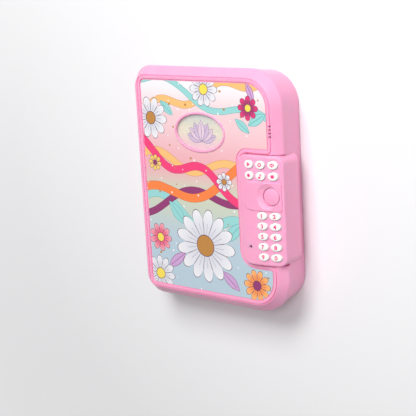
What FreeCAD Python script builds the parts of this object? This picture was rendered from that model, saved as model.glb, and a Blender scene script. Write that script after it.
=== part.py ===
import FreeCAD, Part
import math
import os
from FreeCAD import Vector

# A lockable electronic diary that lies on its back.
# X runs across the cover, Y up the page and Z out of the cover. All lengths are in millimetres.
# The origin is on the back face, below the middle of the whole outline.

# Notebook and marker that the case is built around
notebook_width = 105.0
notebook_height = 148.0
notebook_thickness = 16.0
notebook_board = 1.0
notebook_overhang = 2.0
notebook_corner = 4.0
notebook_clearance = 1.0
notebook_headroom = 0.4
marker_overrun = 31.0
marker_radius = 4.8
marker_cap_length = 44.0
marker_cap_wall = 0.5
marker_cap_overlap = 12.0
marker_end_round = 1.5
marker_seat = 0.3
marker_end_clearance = 1.0
marker_proud = 4.0
clip_length = 30.0
clip_width = 3.0
clip_thickness = 1.2

# Keys of the key block
digit_width = 10.0
digit_height = 7.0
digit_pitch_x = 12.05
digit_pitch_y = 9.3
digit_columns = 2
digit_rows = 5
function_width = 9.2
function_height = 7.7
function_pitch_x = 11.65
function_pitch_y = 9.9
function_columns = 3
function_rows = 2
button_diameter = 15.4
button_gap = 0.5
key_proud = 1.4
key_travel = 1.2
key_gap = 0.3
key_flange = 0.7
key_flange_thickness = 1.0
key_top_round = 0.9
button_sink = 0.45
button_dome = 0.9
button_lean = 5.0
button_edge_round = 0.5

# Key block
block_overhang = 3.0
block_rise = 4.9
block_wall = 2.0
block_top_radius = 7.5
block_bottom_radius = 10.7
block_right_radius = 8.0
block_left_drop = 1.13
block_right_drop = 6.4
block_crown_share = 0.30
block_edge_round = 1.8
block_roof = 7.1
block_apron_drop = 14.0
block_apron_clearance = 0.2
block_foot_chamfer = 1.5
block_top_margin = 7.8
block_bottom_margin = 8.55
block_right_margin = 8.5
function_left_margin = 13.3
function_right_margin = 8.75
button_right_margin = 11.5
function_to_button = 18.26
button_to_digits = 17.14
block_low_share = 0.2105
band_left_margin = 5.0
band_height = 25.35
band_lift = -0.11
band_corner = 9.0
band_rise = 1.0
band_round = 0.5
dish_radius = 11.0
dish_depth = 2.2
mic_left_margin = 11.0
mic_bottom_margin = 16.65
mic_hole_radius = 1.3
mic_cover = 1.0
mic_clearance = 0.8
post_radius = 2.6
post_inset = 4.4
post_second_inset = 13.5

# Lid and cover
lid_wall = 2.2
lid_skirt = 3.5
lid_left_radius = 17.0
lid_right_radius = 33.0
bevel_width = 7.3
bevel_left_width = 5.0
bevel_drop = 7.5
bevel_foot_round = 2.5
bevel_top_round = 0.8
lid_plate = 1.4
lid_top_margin = 31.0
panel_thickness = 0.6
panel_clearance = 0.15
panel_lip_radius = 1.0
border_width = 4.3
notch_gap = 0.5
bead_start = 1.0
bead_width = 2.5
bead_rise = 0.5
bead_round = 0.4
outer_groove_width = 1.2
groove_depth = 0.8
window_width = 54.6
window_height = 32.6
window_offset = 3.2
window_drop = 57.9
bezel_width = 2.2
bezel_rise = 1.0
bezel_round = 0.8
bezel_spigot = 1.4
bezel_clearance = 0.15
lens_thickness = 1.0
lens_sink = 0.5
lens_ledge = 0.6
lens_gap = 0.1
rib_gap = 0.5
rib_width = 1.2
rib_drop = 2.5
vent_count = 4
vent_length = 2.6
vent_width = 1.2
vent_pitch = 3.05
vent_above_block = 16.25
vent_from_panel = 3.25

# Base
base_step = 1.0
base_draft = 3.5
base_wall = 2.0
base_floor = 2.0
base_foot_round = 2.5
parting_gap = 0.4
deck_thickness = 2.0
deck_clearance = 0.2
deck_left_margin = 7.75
deck_bottom_margin = 23.0
tray_wall = 1.6
well_corner = 3.0
well_to_block = 8.4
well_to_trough = 15.0
plateau_rise = 5.0
plateau_side_margin = 2.0
plateau_end_margin = 5.0
plateau_corner = 6.0
plateau_far_corner = 12.0
plateau_gap_share = 0.15
plateau_left_inset = 2.0
grille_slots = 5
grille_slot_width = 2.0
grille_slot_length = 22.0
grille_pitch = 4.5

# Hinge
barrel_radius = 3.0
pin_radius = 1.0
pin_fit = 0.02
pin_running = 0.05
pin_recess = 0.5
knuckle_length = 12.0
knuckle_count = 3
knuckle_gap = 0.3
knuckle_relief = 0.4
hinge_spacing = 110.0

# Latch
latch_height = 2.4
bolt_width = 9.0
bolt_height = 2.0
bolt_travel = 4.0
bolt_setback = 0.3
bolt_clearance = 0.4
arm_from_block = 10.0
arm_width = 7.0
arm_thickness = 2.0
plunger_radius = 2.4
plunger_length = 22.0
plunger_clearance = 0.3
coil_radius = 6.0
coil_length = 17.0
solenoid_plate = 1.0
solenoid_height = 14.0
solenoid_width = 13.0
solenoid_from_arm = 5.3
latch_spring_radius = 3.6
latch_spring_clearance = 0.3
strike_thickness = 1.0
strike_width = 20.0
strike_height = 5.0
strike_foot = 0.4

# Electronics
mat_thickness = 0.6
mat_dome_radius = 3.0
mat_dome_rise = 0.5
mat_clearance = 0.6
dome_clearance = 0.2
board_thickness = 1.2
board_clearance = 1.0
boss_radius = 2.1
chip_size = 9.0
chip_thickness = 1.2
mic_radius = 3.0
speaker_radius = 16.0
speaker_depth = 5.5
speaker_rim = 2.0
speaker_seat = 1.5
speaker_cone_depth = 2.5
magnet_radius = 9.0
magnet_depth = 4.0
cell_radius = 5.25
cell_length = 44.5
cell_nub_radius = 1.9
cell_nub_length = 1.0
cell_pitch = 11.4
cell_count = 3
cell_clearance = 0.6
cell_spring_length = 4.0
cell_spring_base = 3.4
cell_spring_tip = 2.0
contact_size = 8.0
contact_thickness = 0.5
bay_wall = 1.5
bay_headroom = 4.2
bay_from_well_left = 36.5
bay_from_well_bottom = 45.0
door_inset = 0.4
door_clearance = 0.3
door_seat_gap = 0.1
door_tab_length = 11.0
door_tab_width = 16.0
door_corner = 2.5

# Screws
screw_radius = 1.2
screw_head_radius = 2.3
screw_head_height = 1.4
screw_fit = 0.05
screw_free = 0.3
case_post_radius = 3.2
case_post_split = 8.0
case_post_inset = 14.0
case_counterbore = 10.0
case_screw_cover = 3.0
board_screw_reach = 3.4
post_screw_reach = 8.0
door_screw_reach = 6.0
door_head_height = 0.7

# One overrun serves every cut, and a share of it tells when two levels are the same
overrun = 2.0
close_share = 0.001

# Levels from the back face upwards: the cells, the notebook's well over them and the lid over both
cell_level = base_floor + cell_clearance + cell_radius
bay_under = cell_level + cell_radius + cell_clearance
well_floor = bay_under + bay_wall + bay_headroom + tray_wall
notebook_top = well_floor + notebook_thickness
plate_under = notebook_top + notebook_headroom
panel_seat = plate_under + lid_plate
lid_top = panel_seat + panel_thickness
lens_top = lid_top - lens_sink
skirt_top = lid_top - bevel_drop
lid_foot = skirt_top - lid_skirt
base_height = lid_foot - parting_gap
deck_under = base_height - deck_thickness
crown = lid_top + block_rise
roof_under = crown - block_roof
flange_top = roof_under - key_gap
flange_under = flange_top - key_flange_thickness
mat_top = flange_under - key_travel - dome_clearance - mat_dome_rise
board_top = mat_top - mat_thickness
board_under = board_top - board_thickness
latch_level = lid_foot + latch_height
solenoid_level = deck_under - solenoid_height / 2
trough_level = base_height + marker_proud - marker_radius
block_apron_foot = base_height - block_apron_drop
case_screw_reach = base_height - case_screw_cover - case_counterbore

# Places across the cover, from the left
marker_length = notebook_width + marker_overrun
rim_width = bead_start + bead_width + outer_groove_width + bevel_width
block_width = function_left_margin + (function_columns - 1) * function_pitch_x + function_right_margin
total_width = (
    barrel_radius
    + base_step
    + base_wall
    + deck_left_margin
    + 2 * notebook_clearance
    + notebook_width
    + well_to_block
    + block_width
)
lid_left = barrel_radius - total_width / 2
well_left = lid_left + base_step + base_wall + deck_left_margin
well_right = well_left + notebook_width + 2 * notebook_clearance
block_left = well_right + well_to_block
block_right = block_left + block_width
lid_right = block_right - block_overhang

# Places up the page
total_height = (
    lid_top_margin
    + notebook_height
    + 2 * notebook_clearance
    + well_to_trough
    + deck_bottom_margin
)
page_top = total_height / 2
page_bottom = -page_top
well_top = page_top - lid_top_margin
well_bottom = well_top - notebook_height - 2 * notebook_clearance
trough_y = well_bottom - well_to_trough
block_height = (
    block_top_margin
    + (function_rows - 1) * function_pitch_y
    + function_to_button
    + button_to_digits
    + (digit_rows - 1) * digit_pitch_y
    + block_bottom_margin
)
plateau_height = 2 * (speaker_radius + plateau_end_margin)
plateau_width = 2 * (speaker_radius + plateau_side_margin)

# The height that is left over is shared out below the key block, above it and above the speaker hood
corner_room = lid_right_radius + panel_lip_radius + notch_gap + border_width
spare_height = total_height - corner_room - block_height - plateau_height - base_step - base_wall
block_bottom = page_bottom + corner_room + spare_height * block_low_share
block_top = block_bottom + block_height
function_y = block_top - block_top_margin
button_y = function_y - (function_rows - 1) * function_pitch_y - function_to_button
digit_y = button_y - button_to_digits
function_x = block_right - function_right_margin - (function_columns - 1) * function_pitch_x
button_x = block_right - button_right_margin
digit_x = block_right - block_right_margin - (digit_columns - 1) * digit_pitch_x
window_x = (lid_left + lid_right) / 2 - window_offset
window_y = page_top - window_drop
mic_x = block_left + mic_left_margin
mic_y = block_bottom + mic_bottom_margin
hinge_x = lid_left
hinge_z = base_height + parting_gap / 2
bay_x = well_left + bay_from_well_left
bay_y = well_bottom + bay_from_well_bottom
plateau_left = block_left - plateau_left_inset
plateau_bottom = block_top + spare_height * plateau_gap_share
speaker_x = plateau_left + plateau_width / 2
speaker_y = plateau_bottom + plateau_height / 2
post_x = block_left + post_inset
post_second_x = block_left + post_second_inset


def box(x0, x1, y0, y1, z0, z1):
    """A block between two corners."""
    return Part.makeBox(x1 - x0, y1 - y0, z1 - z0, Vector(x0, y0, z0))


def upright(radius, x, y, z0, z1):
    """A round bar along Z."""
    return Part.makeCylinder(radius, z1 - z0, Vector(x, y, z0))


def crosswise(radius, y, z, x0, x1):
    """A round bar along X."""
    return Part.makeCylinder(radius, x1 - x0, Vector(x0, y, z), Vector(1, 0, 0))


def lengthwise(radius, x, z, y0, y1):
    """A round bar along Y."""
    return Part.makeCylinder(radius, y1 - y0, Vector(x, y0, z), Vector(0, 1, 0))


def fused(first, others):
    """The first shape joined with all the others."""
    return first.multiFuse(list(others)).removeSplitter()


def without(shape, tools):
    """The shape after every tool is cut from it."""
    return shape.cut(list(tools))


def rectangle(x0, x1, y0, y1, radii):
    """An outline of four square corners with their radii, from the lower left round to the upper left."""
    return [(x0, y0), (x1, y0), (x1, y1), (x0, y1)], list(radii)


def direction(start, end):
    """The unit direction from one outline point to the next."""
    length = math.hypot(end[0] - start[0], end[1] - start[1])
    return (end[0] - start[0]) / length, (end[1] - start[1]) / length


def grown(outline, gap):
    """The outline moved outwards by a gap: outer corners gain that radius and hollow corners lose it."""
    points, radii = outline
    moved = []
    rounded = []
    for index, here in enumerate(points):
        arriving = direction(points[index - 1], here)
        leaving = direction(here, points[(index + 1) % len(points)])
        turn = arriving[0] * leaving[1] - arriving[1] * leaving[0]
        shift_x = gap * (arriving[1] + leaving[1])
        shift_y = -gap * (arriving[0] + leaving[0])
        moved.append((here[0] + shift_x, here[1] + shift_y))
        rounded.append(radii[index] + gap * turn)
    return moved, rounded


def wire(outline, z):
    """A closed wire of straight runs and quarter arcs at a level."""
    points, radii = outline
    runs = []
    for index, here in enumerate(points):
        arriving = direction(points[index - 1], here)
        leaving = direction(here, points[(index + 1) % len(points)])
        radius = radii[index]
        entry = Vector(here[0] - arriving[0] * radius, here[1] - arriving[1] * radius, z)
        leave = Vector(here[0] + leaving[0] * radius, here[1] + leaving[1] * radius, z)
        centre = Vector(entry.x + leaving[0] * radius, entry.y + leaving[1] * radius, z)
        outward = Vector(arriving[0] - leaving[0], arriving[1] - leaving[1], 0).normalize()
        runs.append((entry, centre + outward * radius, leave))
    edges = []
    for index, (entry, middle, leave) in enumerate(runs):
        edges.append(Part.LineSegment(runs[index - 1][2], entry).toShape())
        edges.append(Part.Arc(entry, middle, leave).toShape())
    return Part.Wire(edges)


def prism(outline, z0, z1):
    """An outline raised between two levels."""
    return Part.Face(wire(outline, z0)).extrude(Vector(0, 0, z1 - z0))


def ring(outline, inner, outer, z0, z1):
    """A band that follows an outline between two distances outside it."""
    return prism(grown(outline, outer), z0, z1).cut(prism(grown(outline, inner), z0, z1))


def loft(sections):
    """A solid through outlines at rising levels."""
    return Part.makeLoft([wire(outline, z) for outline, z in sections], True, True)


def oval(x, y, width, height, z0, z1):
    """An upright bar of oval section."""
    if math.isclose(width, height):
        return upright(width / 2, x, y, z0, z1)
    curve = Part.Ellipse(Vector(x, y, z0), width / 2, height / 2)
    return Part.Face(Part.Wire(curve.toShape())).extrude(Vector(0, 0, z1 - z0))


def edges_at(shape, z):
    """The edges of a shape that lie flat at a level."""
    close = overrun * close_share
    flat = [e for e in shape.Edges if e.BoundBox.ZLength < close]
    return [e for e in flat if abs(e.BoundBox.ZMin - z) < close]


def rounded_at(shape, z, radius):
    """The shape with its edges at a level rounded."""
    return shape.makeFillet(radius, edges_at(shape, z))


def stepped_down(first, pitch, count):
    """Places stepped downwards from the first one."""
    return [first - pitch * step for step in range(count)]


def stepped(first, pitch, count):
    """Places stepped forwards from the first one."""
    return [first + pitch * step for step in range(count)]


def lid_outline():
    """The lid seen from above, with tighter corners on the hinge side."""
    radii = (lid_left_radius, lid_right_radius, lid_right_radius, lid_left_radius)
    return rectangle(lid_left, lid_right, page_bottom, page_top, radii)


def land_outline():
    """The lid's flat top seen from above: its outline less the bevel, which is narrower on the hinge side."""
    left_radius = lid_left_radius - bevel_left_width
    right_radius = lid_right_radius - bevel_width
    left = lid_left + bevel_left_width
    radii = (left_radius, right_radius, right_radius, left_radius)
    return rectangle(left, lid_right - bevel_width, page_bottom + bevel_width, page_top - bevel_width, radii)


def block_outline():
    """The key block seen from above."""
    radii = (block_bottom_radius, block_right_radius, block_right_radius, block_top_radius)
    return rectangle(block_left, block_right, block_bottom, block_top, radii)


def notch_outline(gap):
    """The open-sided bay that the lid leaves for the key block, wider than the block by a gap."""
    far = lid_right + lid_right_radius
    radii = (block_bottom_radius, block_right_radius, block_right_radius, block_top_radius)
    return grown(rectangle(block_left, far, block_bottom, block_top, radii), gap)


def panel_outline():
    """The printed panel: the lid's face less its rim, stepped round the key block."""
    reach = notch_gap + border_width
    (left, bottom), (right, _), (_, top), _ = grown(lid_outline(), -rim_width)[0]
    points = [
        (left, bottom),
        (right, bottom),
        (right, block_bottom - reach),
        (block_left - reach, block_bottom - reach),
        (block_left - reach, block_top + reach),
        (right, block_top + reach),
        (right, top),
        (left, top),
    ]
    left_radius = lid_left_radius - rim_width
    right_radius = lid_right_radius - rim_width
    radii = [
        left_radius,
        right_radius,
        panel_lip_radius,
        block_bottom_radius + reach,
        block_top_radius + reach,
        panel_lip_radius,
        right_radius,
        left_radius,
    ]
    return points, radii


def base_outline(z):
    """The base seen from above at a level: its walls lean in towards the back."""
    return grown(lid_outline(), -base_step - base_draft * (1 - z / base_height))


def lid_inside(z):
    """The inside of the lid's wall at a level, parallel to the bevel above the skirt."""
    climb = max(z - skirt_top, 0)
    return grown(lid_outline(), -lid_wall - climb * bevel_width / bevel_drop)


def knuckle_spans():
    """For each hinge, the two spans of the base's knuckles and the lid's span between them."""
    spans = []
    for side in (-1, 1):
        middle = side * hinge_spacing / 2
        half = knuckle_length / 2
        lower = (middle - half - knuckle_length, middle - half)
        upper = (middle + half, middle + half + knuckle_length)
        spans.append(([lower, upper], (middle - half, middle + half)))
    return spans


def base_knuckle_bars(radius, margin):
    """Round bars on the hinge axis over the base's knuckles."""
    return [
        lengthwise(radius, hinge_x, hinge_z, low - margin, high + margin)
        for base_spans, _ in knuckle_spans()
        for low, high in base_spans
    ]


def lid_knuckle_bars(radius, margin):
    """Round bars on the hinge axis over the lid's knuckles."""
    return [
        lengthwise(radius, hinge_x, hinge_z, low - margin, high + margin)
        for _, (low, high) in knuckle_spans()
    ]


def hinge_bars(radius, margin):
    """A round bar through all the knuckles of each hinge, longer than them by a margin at both ends."""
    reach = knuckle_length * knuckle_count / 2 + margin
    middles = [side * hinge_spacing / 2 for side in (-1, 1)]
    return [lengthwise(radius, hinge_x, hinge_z, y - reach, y + reach) for y in middles]


def hinge_pins():
    """Two steel pins, each through the three knuckles of one hinge."""
    return Part.makeCompound(hinge_bars(pin_radius, -pin_recess))


def crown_height(x):
    """The level of the key block's top at a place across it, on the arc through its three points."""
    arc = crown_arc(0).toShape()
    upright_line = Part.LineSegment(Vector(x, 0, 0), Vector(x, 0, crown + overrun)).toShape()
    return arc.distToShape(upright_line)[1][0][0].z


def crown_arc(lift):
    """The arched top line of the key block, lowest on the right."""
    start = Vector(block_left, 0, crown - block_left_drop + lift)
    middle = Vector(block_left + block_width * block_crown_share, 0, crown + lift)
    end = Vector(block_right, 0, crown - block_right_drop + lift)
    return Part.Arc(start, middle, end)


def arched_bar(foot, lift):
    """A bar as long and wide as the key block, from a foot to the arched top line."""
    arc = crown_arc(lift)
    start = Vector(arc.StartPoint)
    end = Vector(arc.EndPoint)
    low_start = Vector(start.x, 0, foot)
    low_end = Vector(end.x, 0, foot)
    edges = [
        Part.LineSegment(low_start, start).toShape(),
        arc.toShape(),
        Part.LineSegment(end, low_end).toShape(),
        Part.LineSegment(low_end, low_start).toShape(),
    ]
    face = Part.Face(Part.Wire(edges))
    face.translate(Vector(0, block_bottom, 0))
    return face.extrude(Vector(0, block_height, 0))


def arched_block(outline, foot, lift):
    """An outline raised from a foot to the arched top line."""
    return arched_bar(foot, lift).common(prism(outline, foot, crown + lift + overrun))


def top_rounded(shape, radius):
    """The shape with the edges of its highest face rounded."""
    top_face = max(shape.Faces, key=lambda face: face.CenterOfMass.z)
    return shape.makeFillet(radius, top_face.Edges)


def function_places():
    """The round keys' places, row by row."""
    columns = stepped(function_x, function_pitch_x, function_columns)
    return [(x, y) for y in stepped_down(function_y, function_pitch_y, function_rows) for x in columns]


def digit_places():
    """The oval keys' places, row by row."""
    columns = stepped(digit_x, digit_pitch_x, digit_columns)
    return [(x, y) for y in stepped_down(digit_y, digit_pitch_y, digit_rows) for x in columns]


def key_sizes():
    """Every key's place, its width and height and the gap round it, the large button last."""
    rounds = [(x, y, function_width, function_height, key_gap) for x, y in function_places()]
    ovals = [(x, y, digit_width, digit_height, key_gap) for x, y in digit_places()]
    return rounds + ovals + [(button_x, button_y, button_diameter, button_diameter, button_gap)]


def post_places():
    """The four posts that hold the key block down to the deck."""
    upper = block_top - post_inset
    lower = block_bottom + post_inset
    inner = band_height / 2 - 2 * post_radius
    outer_places = [(post_x, upper), (post_x, lower)]
    return outer_places + [(post_second_x, button_y + inner), (post_second_x, button_y - inner)]


def boss_places():
    """The four bosses that hold the circuit board up under the roof, between the keys."""
    middle = digit_rows // 2
    return [
        (function_x + function_pitch_x / 2, function_y - function_pitch_y / 2),
        (digit_x + digit_pitch_x / 2, digit_y - digit_pitch_y * (middle + 1 / 2)),
        (post_x, digit_y - digit_pitch_y / 2),
        (post_x, button_y + band_height / 2),
    ]


def case_screw_places():
    """The screws that hold the deck to the base: two above the notebook and two below the marker."""
    upper = (page_top + well_top) / 2
    lower = (page_bottom + base_step + base_wall + trough_y - marker_radius - marker_seat - tray_wall) / 2
    left = lid_left + case_post_inset + base_draft
    right = block_left - case_post_inset
    return [(left, upper), (right, upper), (left + case_post_inset, lower), (right, lower)]


def lid_frame():
    """The lid's shell: skirt, wide bevel, beaded rim, panel seat, inner rib, key notch and hinge knuckles."""
    outline = lid_outline()
    shell = loft([(outline, lid_foot), (outline, skirt_top), (land_outline(), lid_top)])
    shell = rounded_at(shell, skirt_top, bevel_foot_round)
    shell = rounded_at(shell, lid_top, bevel_top_round)
    below = lid_foot - overrun
    inside = lid_inside(0)
    hollow = loft([(inside, below), (inside, skirt_top), (lid_inside(plate_under), plate_under)])
    hollow = hollow.cut(prism(notch_outline(notch_gap + lid_wall), below, lid_top))
    panel = panel_outline()
    top = lid_top + overrun
    bead_end = bead_start + bead_width
    cuts = [
        hollow,
        prism(panel, panel_seat, top),
        ring(panel, 0, bead_start, lid_top - groove_depth, top),
        ring(panel, bead_end, bead_end + outer_groove_width, lid_top - groove_depth, top),
        window_oval(bezel_spigot + bezel_clearance, plate_under - overrun, top),
    ]
    shell = without(shell, cuts)
    bead = ring(panel, bead_start, bead_end, lid_top - groove_depth, lid_top + bead_rise)
    rib = ring(well_outline(), rib_gap, rib_gap + rib_width, plate_under - rib_drop, plate_under)
    shell = fused(shell, [rounded_at(bead, lid_top + bead_rise, bead_round), rib])
    shell = without(shell, lid_openings())
    shell = without(shell, base_knuckle_bars(barrel_radius + knuckle_relief, knuckle_gap))
    shell = fused(shell, lid_knuckle_bars(barrel_radius, -knuckle_gap))
    return without(shell, hinge_bars(pin_radius + pin_running, overrun))


def lid_openings():
    """The key notch, the sound vents and the bolt's slot."""
    panel_right = lid_right - rim_width
    vent_x = panel_right + vent_from_panel
    top = lid_top + overrun
    cuts = [prism(notch_outline(notch_gap), lid_foot - overrun, top)]
    low = plate_under - overrun
    half_length = vent_length / 2
    half_width = vent_width / 2
    for y in stepped(block_top + vent_above_block, vent_pitch, vent_count):
        cuts.append(box(vent_x - half_length, vent_x + half_length, y - half_width, y + half_width, low, top))
    cuts.append(bolt_slot(block_left - notch_gap - lid_wall - overrun, block_left))
    return cuts


def bolt_slot(x0, x1):
    """The slot that clears the latch bolt between two places across the cover."""
    half_width = bolt_width / 2 + bolt_clearance
    half_height = bolt_height / 2 + bolt_clearance
    low = latch_level - half_height
    return box(x0, x1, button_y - half_width, button_y + half_width, low, latch_level + half_height)


def window_oval(margin, z0, z1):
    """The window's oval, larger all round by a margin, between two levels."""
    return oval(window_x, window_y, window_width + 2 * margin, window_height + 2 * margin, z0, z1)


def cover_panel():
    """The printed panel in its seat, with a hole for the window's spigot."""
    plate = prism(grown(panel_outline(), -panel_clearance), panel_seat, lid_top)
    return plate.cut(window_oval(bezel_spigot + bezel_clearance, panel_seat - overrun, lid_top + overrun))


def window_bezel():
    """The oval ring round the window, with a spigot through the lid and a seat for the pane in it."""
    top = lid_top + bezel_rise
    low = plate_under - overrun
    solid = fused(window_oval(bezel_width, lid_top, top), [window_oval(bezel_spigot, plate_under, lid_top)])
    collar = rounded_at(solid.cut(window_oval(0, low, top + overrun)), top, bezel_round)
    return collar.cut(window_oval(lens_ledge + lens_gap, low, lens_top))


def window_lens():
    """The clear oval pane, set into the ring from inside."""
    return window_oval(lens_ledge, lens_top - lens_thickness, lens_top)


def strike_plate():
    """The steel plate behind the lid's notch wall that the bolt slides into."""
    right = block_left - notch_gap - lid_wall
    low = lid_foot + strike_foot
    half = strike_width / 2
    plate = box(right - strike_thickness, right, button_y - half, button_y + half, low, low + strike_height)
    return plate.cut(bolt_slot(right - strike_thickness - overrun, right + overrun))


def base_shell():
    """The back shell: leaning walls, screw posts, battery bay and hinge knuckles."""
    shell = loft([(base_outline(0), 0), (base_outline(base_height), base_height)])
    shell = rounded_at(shell, 0, base_foot_round)
    above = base_height + overrun
    inner_low = grown(base_outline(base_floor), -base_wall)
    inner_high = grown(base_outline(above), -base_wall)
    shell = shell.cut(loft([(inner_low, base_floor), (inner_high, above)]))
    post_top = deck_under - case_post_split + overrun
    posts = [upright(case_post_radius, x, y, 0, post_top) for x, y in case_screw_places()]
    shell = fused(shell, posts + [battery_bay()])
    cuts = [bay_box(0, base_floor, bay_under), door_opening(), door_screw_hole()]
    for x, y in case_screw_places():
        cuts.append(upright(screw_head_radius + screw_free, x, y, -overrun, case_counterbore))
        cuts.append(upright(screw_radius + screw_fit, x, y, -overrun, post_top + overrun))
    shell = without(shell, cuts)
    shell = without(shell, lid_knuckle_bars(barrel_radius + knuckle_relief, knuckle_gap))
    shell = fused(shell, base_knuckle_bars(barrel_radius, 0))
    return without(shell, hinge_bars(pin_radius + pin_fit, overrun))


def bay_half_width():
    """Half of the battery bay's inner width."""
    return cell_pitch * (cell_count - 1) / 2 + cell_radius + cell_clearance


def bay_half_length():
    """Half of the battery bay's inner length: a cell, its spring and a contact plate at each end."""
    return (cell_length + cell_spring_length) / 2 + contact_thickness


def bay_box(margin, z0, z1):
    """The battery bay's plan, larger all round by a margin, between two levels."""
    half_width = bay_half_width() + margin
    half_length = bay_half_length() + margin
    return box(bay_x - half_width, bay_x + half_width, bay_y - half_length, bay_y + half_length, z0, z1)


def battery_bay():
    """The bay's walls and ceiling with the post for the door's screw."""
    walls = bay_box(bay_wall, 0, bay_under + bay_wall)
    x, y = door_screw_place()
    half_tab = door_tab_width / 2 + bay_wall
    tab = box(x - half_tab, x + half_tab, bay_y, y + door_tab_length / 2 + bay_wall, 0, base_floor + bay_wall)
    post = upright(case_post_radius, x, y, base_floor, base_floor + door_screw_reach + bay_wall)
    return fused(walls, [tab, post])


def door_screw_place():
    """The door's screw, in the middle of the door's tab."""
    return bay_x, bay_y + bay_half_length() + door_tab_length / 2


def door_plan(gap):
    """The battery door seen from the back, with its tab, smaller than its opening by a gap."""
    half_width = bay_half_width() - gap
    half_length = bay_half_length()
    plate = rectangle(
        bay_x - half_width,
        bay_x + half_width,
        bay_y - half_length + gap,
        bay_y + half_length - gap,
        [door_corner] * 4,
    )
    half_tab = door_tab_width / 2 - gap
    tab = rectangle(
        bay_x - half_tab,
        bay_x + half_tab,
        bay_y,
        bay_y + half_length + door_tab_length - gap,
        [door_corner] * 4,
    )
    return plate, tab


def door_solid(gap, z0, z1):
    """The door's plan raised between two levels."""
    plate, tab = door_plan(gap)
    return fused(prism(plate, z0, z1), [prism(tab, z0, z1)])


def door_opening():
    """The opening in the back that the battery door closes."""
    return door_solid(0, -overrun, base_floor)


def door_screw_hole():
    """The hole for the door's screw."""
    x, y = door_screw_place()
    return upright(screw_radius + screw_free, x, y, -overrun, base_floor + door_screw_reach + bay_wall / 2)


def battery_door():
    """The flat door over the cells, with a counterbored hole for its screw."""
    x, y = door_screw_place()
    door = door_solid(door_clearance, door_inset, base_floor - door_seat_gap)
    head = upright(screw_head_radius + screw_fit, x, y, -overrun, door_inset + door_head_height)
    hole = upright(screw_radius + screw_fit, x, y, -overrun, base_floor + overrun)
    return without(door, [head, hole])


def door_screw():
    """The captive screw of the battery door."""
    x, y = door_screw_place()
    head = upright(screw_head_radius, x, y, door_inset, door_inset + door_head_height)
    shank = upright(screw_radius, x, y, door_inset, base_floor + door_screw_reach)
    return fused(head, [shank])


def cell_places():
    """Each cell's place across the bay and the end its nub points to."""
    first = bay_x - cell_pitch * (cell_count - 1) / 2
    return [(x, 1 if step % 2 else -1) for step, x in enumerate(stepped(first, cell_pitch, cell_count))]


def along_bay(radius, x, facing, start, end):
    """A round bar along the bay between two distances from its middle, counted towards the nub's end."""
    low, high = sorted((bay_y + facing * start, bay_y + facing * end))
    return lengthwise(radius, x, cell_level, low, high)


def batteries():
    """Three small cells side by side, pointing opposite ways in turn."""
    cells = []
    tip = bay_half_length() - contact_thickness
    for x, facing in cell_places():
        can = along_bay(cell_radius, x, facing, tip - cell_length, tip - cell_nub_length)
        nub = along_bay(cell_nub_radius, x, facing, tip - cell_nub_length, tip)
        cells.append(fused(can, [nub]))
    return Part.makeCompound(cells)


def contact_plates():
    """A flat contact at both ends of each cell."""
    plates = []
    half = contact_size / 2
    outer = bay_half_length()
    for x, _ in cell_places():
        for facing in (-1, 1):
            low, high = sorted((bay_y + facing * (outer - contact_thickness), bay_y + facing * outer))
            plates.append(box(x - half, x + half, low, high, cell_level - half, cell_level + half))
    return Part.makeCompound(plates)


def contact_springs():
    """The cone springs behind the flat ends of the cells, drawn pressed together."""
    springs = []
    tip = bay_half_length() - contact_thickness
    for x, facing in cell_places():
        start = Vector(x, bay_y - facing * tip, cell_level)
        along = Vector(0, facing, 0)
        springs.append(Part.makeCone(cell_spring_base, cell_spring_tip, cell_spring_length, start, along))
    return Part.makeCompound(springs)


def case_screws():
    """The long screws from the back into the deck's bosses."""
    screws = []
    low = case_counterbore - screw_head_height
    for x, y in case_screw_places():
        head = upright(screw_head_radius, x, y, low, case_counterbore)
        shank = upright(screw_radius, x, y, low, case_counterbore + case_screw_reach)
        screws.append(fused(head, [shank]))
    return Part.makeCompound(screws)


def tray():
    """The deck: notebook well, marker trough, raised speaker hood and the openings under the key block."""
    deck = prism(grown(base_outline(deck_under), -base_wall - deck_clearance), deck_under, base_height)
    well = well_solid(tray_wall, well_floor - tray_wall, base_height)
    adds = [well, trough_block(), plateau_solid(0, deck_under, 0)]
    for x, y in case_screw_places():
        adds.append(upright(case_post_radius, x, y, deck_under - case_post_split + overrun, base_height))
    deck = fused(deck, adds)
    cuts = [
        well_solid(0, well_floor, base_height + overrun),
        trough_hollow(),
        plateau_solid(tray_wall, deck_under - overrun, tray_wall),
        arm_opening(),
    ]
    cuts = cuts + grille_cuts()
    for x, y in case_screw_places():
        top = case_counterbore + case_screw_reach + screw_free
        cuts.append(upright(screw_radius + screw_fit, x, y, deck_under - case_post_split, top))
    for x, y in post_places():
        cuts.append(upright(screw_radius + screw_fit, x, y, deck_under - overrun, base_height + overrun))
    cuts = cuts + lid_knuckle_bars(barrel_radius + knuckle_relief, knuckle_gap)
    return without(deck, cuts)


def well_outline():
    """The notebook's well seen from above."""
    return rectangle(well_left, well_right, well_bottom, well_top, [well_corner] * 4)


def well_solid(margin, z0, z1):
    """The notebook well's plan, larger by a margin, between two levels."""
    return prism(grown(well_outline(), margin), z0, z1)


def trough_span():
    """The two ends of the marker's trough."""
    left = well_left + notebook_clearance + notebook_overhang
    return left, left + marker_length + 2 * marker_end_clearance


def trough_block():
    """The block that the marker's trough is sunk into."""
    left, right = trough_span()
    half = marker_radius + marker_seat + tray_wall
    low = trough_level - half
    return box(left - tray_wall, right + tray_wall, trough_y - half, trough_y + half, low, base_height)


def trough_hollow():
    """The round-bottomed hollow that the marker lies in."""
    left, right = trough_span()
    radius = marker_radius + marker_seat
    channel = crosswise(radius, trough_y, trough_level, left, right)
    above = box(left, right, trough_y - radius, trough_y + radius, trough_level, base_height + overrun)
    return fused(channel, [above])


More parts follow.
